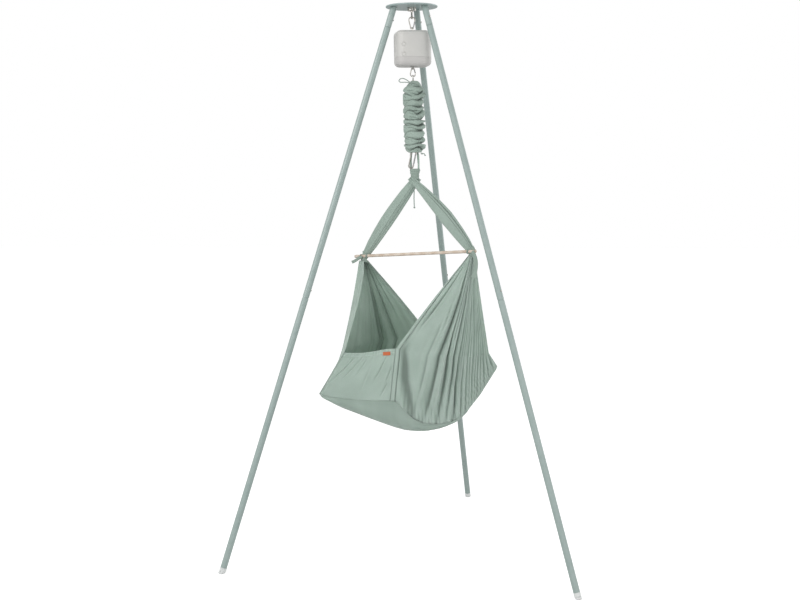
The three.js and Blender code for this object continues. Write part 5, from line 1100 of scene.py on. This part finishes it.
def strap(name, side, widths, bow, section, lines):
    """A folded strap; lines are folds along it: (place low, place high, depth, width), across the width."""
    rows = 90
    base = bar_place(side, 3.0, 4)
    crossing = np.array((APEX_SHIFT - side * STRAP_CROSS, -side * STRAP_OFFSET, APEX_Z))
    run = crossing - base
    across = np.array((run[2], 0, -run[0]))
    across /= np.linalg.norm(across)
    section = np.array(section)
    places = np.linspace(0, 1, 96)
    walked = walked_along(section)
    walked /= walked[-1]
    line = np.stack([np.interp(places, walked, section[:, i]) for i in (0, 1)], -1)
    for _ in range(6):
        line[1:-1] = (line[:-2] + 2 * line[1:-1] + line[2:]) / 4
    front = np.clip((0.4 - line[:, 1]) / 0.6, 0, 1)
    grid = np.zeros((rows, len(places), 3))
    heights = np.zeros((rows, len(places)))
    for r in range(rows):
        share = r / (rows - 1) * STRAP_END
        bulge = math.sin(math.pi * min(1, share)) ** 0.7
        half = float(np.interp(share, *widths)) / 2
        gathered = max(0.0, 1 - share / STRAP_GATHER) + max(0.0, 1 - (STRAP_END - share) / STRAP_GATHER)
        centre = base + run * share + across * side * bow * bulge
        for c, (a, d) in enumerate(line):
            sunk = sum(deep * math.exp(-((a - low - (high - low) * share) / width) ** 2)
                       for low, high, deep, width in lines) * front[c]
            crumple = gathered * 2.4 * math.sin(a * 9 + side)
            slack = 0.9 * math.sin(7 * share + 3 * a + side) * bulge
            heights[r, c] = -sunk
            depth = d * (3.2 + 1.6 * bulge) + crumple + slack + sunk
            grid[r, c] = centre + across * half * a + np.array((0, depth, 0))
    # Painted shade in the strap's folds
    return sheet_from(name, placed(grid, SLING_TURN), CLOTH / 1000, cover_cotton, "cradle",
                      hollow=np.clip(1.3 * painted_fold_shades(heights, 8, 1.6), 0, 1.2))


# Each section runs from edge to edge as (across, into the fold), in half widths and folds
LEFT_SECTION = [(-1.0, 1.2), (-1.03, 0.2), (-0.9, -0.9), (-0.4, -1.1), (0.1, -0.9), (0.36, -1.3),
                (0.44, -0.7), (0.62, -0.2), (0.9, 0.9), (1.0, 1.9), (0.7, 2.3), (0.0, 1.7), (-0.8, 1.6)]
RIGHT_SECTION = [(-0.95, 1.2), (-1.02, 0.1), (-0.8, -0.9), (-0.2, -1.0), (0.3, -0.8), (0.58, -1.1),
                 (0.7, -0.5), (0.96, 0.4), (1.0, 1.6), (0.8, 2.2), (0.0, 1.7), (-0.8, 1.6)]
LEFT_LINES = [(0.42, 0.26, 2.2, 0.05), (0.82, 0.78, 5.5, 0.13)]
RIGHT_LINES = [(0.5, 0.3, 2.4, 0.05), (0.8, 0.66, 4.6, 0.09)]
for node, side, widths, bow, section, lines in (
    ("left_strap", -1, LEFT_WIDTHS, 5.0, LEFT_SECTION, LEFT_LINES),
    ("right_strap", 1, RIGHT_WIDTHS, 8.0, RIGHT_SECTION, RIGHT_LINES),
):
    piece, made = strap(node + "_soft", side, widths, bow, section, lines)
    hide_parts(node)

# %% [markdown]
# ## Swept soft pieces
# Loops, bindings and ribbons all follow a path. One helper lofts a closed cross-section along a smooth path
# with frames that don't twist, and another makes a rod-like cord as a curve, which stays editable.

# %% Lofting helpers
# Threads lie on a rolled piece as they would on a roll of this radius, in metres
ROLL_R = 0.006


def smooth_path(points, count):
    """Points of a smooth line through the given ones, evenly spaced."""
    points = np.asarray(points, float)
    ends = np.vstack([2 * points[0] - points[1], points, 2 * points[-1] - points[-2]])
    out = []
    for i in range(len(points) - 1):
        p0, p1, p2, p3 = ends[i], ends[i + 1], ends[i + 2], ends[i + 3]
        for t in np.linspace(0, 1, 24, endpoint=False):
            out.append(0.5 * (2 * p1 + (p2 - p0) * t + (2 * p0 - 5 * p1 + 4 * p2 - p3) * t * t
                              + (3 * p1 - p0 - 3 * p2 + p3) * t ** 3))
    out.append(points[-1])
    out = np.array(out)
    walked = walked_along(out)
    even = np.linspace(0, walked[-1], count)
    return np.stack([np.interp(even, walked, out[:, i]) for i in range(3)], -1), walked[-1]


def loft(name, path, side_hint, radii, turn, material, body, sides=18):
    """Ellipse sections (half width, half depth, wobble) carried along a path in millimetres, ends closed."""
    ahead = np.gradient(path, axis=0)
    ahead /= np.linalg.norm(ahead, axis=1, keepdims=True)
    side = np.asarray(side_hint, float)
    rings = []
    for i, here in enumerate(path):
        side = side - ahead[i] * (side @ ahead[i])
        side /= np.linalg.norm(side)
        other = np.cross(ahead[i], side)
        wide, deep, wobble = radii(i / (len(path) - 1))
        ring = []
        for k in range(sides):
            angle = 2 * math.pi * k / sides
            grow = 1 + wobble * math.sin(3 * angle + 9 * i / len(path)) + 0.5 * wobble * math.sin(5 * angle)
            ring.append(here + side * wide * grow * math.cos(angle) + other * deep * grow * math.sin(angle))
        rings.append(ring)
    rings = placed(np.array(rings), turn)
    rows = len(rings)
    faces = [(r + k, r + (k + 1) % sides, r + sides + (k + 1) % sides, r + sides + k)
             for r in range(0, (rows - 1) * sides, sides) for k in range(sides)]
    faces += [tuple(range(sides - 1, -1, -1)), tuple((rows - 1) * sides + k for k in range(sides))]
    walked = walked_along(path) / 1000
    uv = [(2 * math.pi * k / sides * ROLL_R, walked[r]) for r in range(rows) for k in range(sides)]
    return mesh_from(name, rings.reshape(-1, 3), faces, material, body, uv=uv)


def cord_curve(name, points, radius, turn, body, material):
    """A cord as one open spline with a round section; returns it, its length in metres and its path."""
    path, _ = smooth_path(points, max(20, min(40, 3 * len(points))))
    path = placed(path, turn)
    curve = bpy.data.curves.new(name, "CURVE")
    curve.dimensions = "3D"
    curve.bevel_depth = radius / 1000
    curve.bevel_resolution = 4
    curve.use_fill_caps = True
    spline = curve.splines.new("POLY")
    spline.points.add(len(path) - 1)
    for point, place in zip(spline.points, path):
        point.co = (*place, 1)
    spline.use_smooth = True
    curve.materials.append(material)
    thing = bpy.data.objects.new(name, curve)
    bpy.context.collection.objects.link(thing)
    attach(thing, body)
    return thing, run_of(path), path


def knot(name, centre, radius, turn, body, material):
    """An overhand knot: three lobes of cord wound into a small ball."""
    angles = np.linspace(0, 2 * math.pi, 73)
    r = radius * 0.52
    path = np.stack([(np.sin(angles) + 2 * np.sin(2 * angles)) * r / 2.4,
                     (np.cos(angles) - 2 * np.cos(2 * angles)) * r / 2.4, -np.sin(3 * angles) * r / 1.6], -1)
    path = path + np.asarray(centre, float)
    strand = (radius * 0.36, radius * 0.36, 0.05)
    return loft(name, path, (1, 0.2, 0.1), lambda s: strand, turn, material, body, 10)


print("lofting helpers ready")

# %% [markdown]
# ## Loop, binding and ties
# The crossing straps are bound by a wound strip of the same cotton, and its two limbs rise into the loop
# over the lower eye. At the bar the strap narrows behind the wood, and the end cloth's bundle leaves below.
# Cord turns beside each tie stop it sliding, and a ribbon tail hangs from each.

# %% Hanging loop over the lower eye
HANGING_Z = 1423.6
WRAP_TOP = APEX_Z + 34.0
# The eye's wire, the gap in it and half the rolled cloth
LOOP_R = 2.6 + 0.3 + 4.0
limb_rise = HANGING_Z - WRAP_TOP
limb = [(13, 3, WRAP_TOP - 3), (13, 3, WRAP_TOP + limb_rise * 0.35), (11.7, 3, WRAP_TOP + limb_rise * 0.75),
        (LOOP_R * 1.04, 3, HANGING_Z - LOOP_R * 0.2), (LOOP_R * 0.8, 3, HANGING_Z + LOOP_R * 0.65)]
path, _ = smooth_path([(-x, y, z) for x, y, z in limb] + [(0, 3, HANGING_Z + LOOP_R)] + limb[::-1], 90)
loop = loft("hanging_loop_soft", path, (0, 1, 0),
            lambda s: (6.4 + 0.7 * math.sin(22 * s), 3.6 + 0.4 * math.cos(17 * s), 0.05),
            CHAIN_TURN, sage_cotton, "cradle", 20)
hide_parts("hanging_loop")

# %% Binding at the crossing
path = np.array([(0, 0, z) for z in np.linspace(APEX_Z - 2, WRAP_TOP + 2, 60)])


def binding_radius(share):
    """The binding narrows upwards, with a swell for each turn of the strip."""
    grow = 0.9 + 0.09 * abs(math.sin(math.pi * share * 4.2)) ** 0.6
    wide = np.interp(share, (0, 0.12, 0.3, 0.5, 0.8, 0.95, 1), (10.5, 13.5, 14.6, 15.5, 18, 18, 16))
    return wide * grow, wide * 0.64 * grow, 0.035


binding = loft("loop_wrap_soft", path, (1, 0, 0), binding_radius, CHAIN_TURN, shade_cotton, "cradle", 40)
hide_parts("loop_wrap")
print("loop and binding rise to", round(max(v.co.z for v in loop.data.vertices), 3))

# %% Ties on the bar
RIBBON_THICKNESS = 0.0011
# How far inward of a knot the turns of cord lie, how wide they run round the bar and how thick they are
TURN_PLACES, TURN_R, TURN_CORD_R = (12.5, 15.2, -11.0), 6.9, 1.4


def ribbon(name, points, width, turn, body, material):
    """A flat ribbon along a path, its width across the path, and the path's length in mm."""
    path, length = smooth_path(points, 40)
    ahead = np.gradient(path, axis=0)
    across = np.stack([-ahead[:, 2], np.zeros(len(path)), ahead[:, 0]], -1)
    across /= np.linalg.norm(across, axis=-1, keepdims=True)
    columns = 7
    grid = np.zeros((len(path), columns, 3))
    for r, here in enumerate(path):
        share = r / (len(path) - 1)
        half = width / 2 * min(1.0, 0.6 + 2.2 * share)
        for c in range(columns):
            x = c / (columns - 1) * 2 - 1
            curl = 1.8 * (x * x - 0.4) * math.sin(3 * share + 0.6) + 0.8 * x * math.sin(8 * share)
            grid[r, c] = here + across[r] * half * x + np.array((0, curl, 0))
    thing, _ = sheet_from(name, placed(grid, turn), RIBBON_THICKNESS, material, body)
    return thing, length


def bar_tie(name, side, width, tail, tail_width):
    """The bound strap behind the bar, the bundle below it, the cord turns beside them and a ribbon tail."""
    u, _, z = bar_place(side)
    path, _ = smooth_path([(u - side * 7, 3.5, z + 11), (u - side * 3, 5.5, z + 6), (u, 6.0, z - 4),
                           (u, 2.0, z - 14), (u, 0, z - 22)], 44)

    def neck(share):
        gather = 0.6 + 0.4 * abs(math.sin(3.2 * share))
        return width * (1.08 - 0.34 * math.sin(math.pi * min(1, share * 1.1))), 8.2 * gather, 0.07

    body_of_tie = loft(name + "_neck", path, (1, 0, 0), neck, SLING_TURN, shade_cotton, "cradle", 32)
    tilt = math.atan(BAR_SLOPE)
    for k, inward in enumerate(TURN_PLACES):
        ring_path = []
        for angle in np.linspace(0, 2 * math.pi, 49):
            along = 0.9 * math.sin(angle) - side * inward
            radius = TURN_R + 0.5 * math.sin(2 * angle + k)
            ring_path.append((u + along * math.cos(tilt), radius * math.cos(angle) * 1.05,
                              z + along * math.sin(tilt) + radius * math.sin(angle)))
        loft(f"{name}_turn_{k + 1}", np.array(ring_path), (1, 0, 0),
                               lambda s: (TURN_CORD_R, TURN_CORD_R, 0.04), SLING_TURN, shade_cotton,
                               "cradle", 10)
    tail_piece, tail_length = ribbon(name + "_tail", [(u + x, -9 + y, z + h) for x, y, h in tail], tail_width,
                                     SLING_TURN, "cradle", shade_cotton)
    print(tail_piece.name, "ribbon", tail_width, "by", round(tail_length, 1), "mm")
    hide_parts(f"{'left' if side < 0 else 'right'}_bar_tie")


RIGHT_TAIL = [(4, 2, 0), (14, -5, -10), (24, -12, -34), (25, -18, -60), (20, -26, -86)]
LEFT_TAIL = [(-2, 2, -1), (-14, -5, -8), (-26, -6, -16), (-40, -6, -22)]
bar_tie("left_bar_tie_soft", -1, 12.0, LEFT_TAIL, 10.5)
bar_tie("right_bar_tie_soft", 1, 15.5, RIGHT_TAIL, 15.0)
print("ties at", [round(bar_place(side)[2]) for side in (-1, 1)], "mm")

# %% [markdown]
# ## Spring and its ruched cover
# The cover is a fabric tube about twice as long as the spring, pushed together so that it lies in rings of
# ruffles and can stretch with the spring. Its ruffles are uneven: each ring swells, wanders up and down and
# dies away.

# %% Spring
SPRING_TOP, SPRING_BOTTOM = 1635.9, 1463.9
COILS, COIL_R, COIL_WIRE = 18, 15.0, 2.0
angles = np.linspace(0, 2 * math.pi * COILS, COILS * 28 + 1)
share = angles / angles[-1]
path = np.stack([COIL_R * np.cos(angles), COIL_R * np.sin(angles),
                 SPRING_BOTTOM + COIL_WIRE + (SPRING_TOP - SPRING_BOTTOM - 2 * COIL_WIRE) * share], -1)
spring = loft("coil_spring_fine", path, (0, 0, 1), lambda s: (COIL_WIRE, COIL_WIRE, 0.0), CHAIN_TURN, zinc,
              None, 9)
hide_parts("coil_spring")
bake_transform(spring)

# %% Ruched cover
COVER_TOP, COVER_LENGTH = 1655.6, 242.6
COVER_NECK, COVER_FULL, COVER_MOUTH = 6.1, 33.0, 25.0
COVER_THICKNESS = 1.6
ROWS, AROUND = 340, 108
RUFFLES, WRINKLES = 11, 96
# Where the cover has widened from its neck, and the flat cloth's size in the weave's own measure
COVER_SHOULDER, COVER_WEAVE = 38, (0.21, 0.45)
rings = np.zeros((ROWS, AROUND, 3))
depths = np.zeros((ROWS, AROUND))
valleys = np.cumsum(0.6 + 0.8 * rng.random(RUFFLES + 1))
valleys = (valleys - valleys[0]) / (valleys[-1] - valleys[0]) * 0.90 + 0.075
lean = rng.normal(0, 0.017, (RUFFLES + 1, 3))
reach = [(rng.normal(0, 20), 26 + 26 * rng.random()) for _ in range(RUFFLES + 1)]
wrinkles = np.zeros((ROWS, AROUND))
angles = np.linspace(0, 2 * math.pi, AROUND, endpoint=False)
steps = np.linspace(0, 1, ROWS)
for _ in range(WRINKLES):
    middle, height, slope = rng.uniform(0, 2 * math.pi), rng.uniform(0.08, 0.97), rng.normal(0.020, 0.026)
    long, wide, deep = rng.uniform(0.25, 0.8), rng.uniform(0.005, 0.009), rng.uniform(1.2, 3.6)
    off = (angles - middle + math.pi) % (2 * math.pi) - math.pi
    line = height + slope * off + 0.006 * np.sin(3 * off)
    window = np.exp(-(off / long) ** 4)
    wrinkles -= deep * window * np.exp(-((steps[:, None] - line) / wide) ** 2)
swell = 0.65 + 0.7 * rng.random((RUFFLES + 1, 3))


def facing(angle, middle, width):
    """How far an angle round the tube faces the middle one, from 0 to 1."""
    off = (angle - math.radians(middle) + math.pi) % (2 * math.pi) - math.pi
    return math.exp(-(off / math.radians(width)) ** 2)


for k in range(AROUND):
    a = 2 * math.pi * k / AROUND
    slack = [2.6 + 17.0 * facing(a, -36 + turn, spread) + 7.0 * facing(a, 150 + 2 * turn, 50)
             for turn, spread in reach]
    lines = [valleys[i] + lean[i, 0] * math.sin(a + i) + lean[i, 1] * math.sin(2 * a + 2 * i)
             + lean[i, 2] * math.cos(3 * a) + 0.020 * facing(a, -125, 50) for i in range(RUFFLES + 1)]
    lines = list(np.maximum.accumulate(np.array(lines) + 1e-4 * np.arange(RUFFLES + 1)))
    lines = [line + 0.004 * i for i, line in enumerate(lines)]
    for r in range(ROWS):
        s = r / (ROWS - 1)
        shoulder = min(s * COVER_LENGTH / COVER_SHOULDER, 1)
        rise = math.sin(shoulder * math.pi / 2) ** (0.95 - 0.6 * facing(a, -15, 60))
        mouth = max(0.0, (s - 0.88) / 0.12) ** 2 * (COVER_FULL - COVER_MOUTH)
        full = COVER_NECK + (COVER_FULL - COVER_NECK) * rise - mouth
        i = min(RUFFLES - 1, max(0, sum(1 for line in lines if line <= s) - 1))
        within = float(np.clip((s - lines[i]) / (lines[i + 1] - lines[i]), 0, 1)) ** 0.82
        ridge = math.sin(math.pi * within) ** (0.62 + 0.7 * facing(a, -36, 40))
        size = swell[i, 0] + 0.35 * swell[i, 1] * math.sin(a * 2 + i * 2.4) + 0.2 * math.sin(5 * a + i * 1.7)
        crimp = 0.45 * math.sin(a * 26 + 3 * math.sin(s * 40)) * (0.3 + ridge)
        loose = slack[i] * (1 - within) + slack[i + 1] * within
        depth = loose * (max(0.25, size) * ridge - 0.62) + crimp + wrinkles[r, k]
        depth = min(depth, 3.2 + 4.0 * facing(a, -24, 50))
        depths[r, k] = depth
        radius = max(full + depth * min(1.0, shoulder * 1.1), min(full, 20.5 if s > 0.1 else COVER_NECK))
        rings[r, k] = (radius * math.cos(a), radius * math.sin(a), COVER_TOP - COVER_LENGTH * s)
out_by = np.linalg.norm(rings[..., :2], axis=-1, keepdims=True)
lining = rings.copy()
lining[..., :2] *= np.clip((out_by - COVER_THICKNESS) / out_by, 0.1, 1)
layers = np.vstack([placed(layer, CHAIN_TURN).reshape(-1, 3) for layer in (rings, lining)])
total = ROWS * AROUND
edges = [list(range(AROUND)), list(range(total - 1, total - AROUND - 1, -1))]
# The rings run downwards, so each face is turned over to look outward
faces = [(face[0], *face[:0:-1]) for face in shell_faces(ROWS, AROUND, edges, closed=True)]
uv = [(k / AROUND * COVER_WEAVE[0], r / ROWS * COVER_WEAVE[1]) for r in range(ROWS) for k in range(AROUND)]
# Painted shade in the valleys between the ruffles
cover = mesh_from("spring_cover_soft", layers, faces, cover_cotton, None, uv=uv + uv,
                  hollow=np.clip(1.6 * painted_fold_shades(depths, 15, 3.4, down=True), 0, 1.25))
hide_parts("spring_cover")
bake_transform(cover)

# %% [markdown]
# ## Cords
# A thin braided cord gathers the cover at its neck, tied in a single bow whose loop stands to the left and
# whose tail falls to the right. A short end hangs at the mouth, and a plain string hangs between the straps.
# Each is one length of limp cord on one smooth line, ended in a knot.

# %% Drawstrings and hanging string
BOW = [(-6, -19.3, -9), (-14, -19.3, -4), (-24, -19.3, 3), (-36, -19.3, 7), (-45, -19.3, 4), (-48, -19.3, -3),
       (-40, -19.3, -6), (-26, -19.3, -6), (-14, -20.3, -8)]
TAIL = [(-6, -19.3, -9), (4, -21.3, -10), (15, -22.3, -14), (26, -22.3, -22), (36, -20.3, -34),
        (40, -17.3, -46)]
LOWER = [(25, -14, -4.5), (29, -15, -4.2), (32.5, -16, -5), (35, -16.6, -7.4), (36, -17, -10.5)]
CORD_R, STRING_R = 1.6, 1.8
STRING_DROP = 98.0
STRING = [(APEX_SHIFT, 0, -0.3), (APEX_SHIFT + 0.6, 0.3, -34), (APEX_SHIFT - 0.5, 0, -66),
          (APEX_SHIFT, 0, -STRING_DROP)]
# A cord shorter than this is a stub, and its knots are parented to it
SHORTEST_CORD = 0.03


def declared_cord(name, points, base, radius, turn, body, replaces, knots):
    """A cord with a knot at each (place, size) in knots, at heights above base."""
    points = [(x, y, base + z) for x, y, z in points]
    thing, length, path = cord_curve(name, points, radius, turn, body, cord_cotton)
    ends = [knot(f"{name}_knot_{i + 1}", points[at], size, turn, body, cord_cotton)
            for i, (at, size) in enumerate(knots)]
    if replaces:
        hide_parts(replaces)
    if length >= SHORTEST_CORD:
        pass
    else:
        for piece in ends:
            piece.parent = thing
    print(name, round(length * 1000), "mm", "" if length >= SHORTEST_CORD else "(too short to declare)")


declared_cord("top_drawstring_bow", BOW, COVER_TOP, CORD_R, CHAIN_TURN, "spring_head",
              "top_drawstring", [(0, 5.0)])
declared_cord("top_drawstring_tail", TAIL, COVER_TOP, CORD_R, CHAIN_TURN, "spring_head",
              None, [(-1, 3.4)])
declared_cord("lower_drawstring_end", LOWER, COVER_TOP - COVER_LENGTH, CORD_R, CHAIN_TURN, "spring_foot",
              "lower_drawstring", [(0, 4.0), (-1, 3.2)])
declared_cord("hanging_string_soft", STRING, APEX_Z, STRING_R, SLING_TURN, "cradle",
              "hanging_string", [(-1, 3.6)])

# %% [markdown]
# ## Tag
# A small folded tag of plain orange tape is sewn into the hem of the near panel. It is left bare. Its two
# layers part slightly at the fold, which is what makes a tag look like cloth and not like a painted patch.

# %% Bare tag
TAG_HALF_WIDTH, TAG_HEIGHT = 0.014, 0.012
TAG_LIFT, TAG_TILT, TAG_THICKNESS = 0.0035, 0.10, 0.0012
low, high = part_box("tag")
tag_centre, tag_half = (low + high) / 2, (high - low) / 2
columns, rows = 30, 18
grid = np.zeros((rows, columns, 3))
along = Vector((math.cos(SLING_TURN), math.sin(SLING_TURN), 0))
out = Vector((math.sin(SLING_TURN), -math.cos(SLING_TURN), 0))
for r in range(rows):
    for c in range(columns):
        x = (c / (columns - 1) * 2 - 1) * TAG_HALF_WIDTH
        z = (0.5 - r / (rows - 1)) * TAG_HEIGHT
        lift_of = 0.0009 * math.cos(x * 160) * (r / (rows - 1)) - 0.0004
        grid[r, c] = tag_centre + along * x + out * lift_of + Vector((0, 0, z + TAG_LIFT + TAG_TILT * x))
tag, _ = sheet_from("tag_soft", grid, TAG_THICKNESS, tag_cotton, "cradle")
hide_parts("tag")
print("tag", [round(x * 1000) for x in tag_half], "mm half sizes")
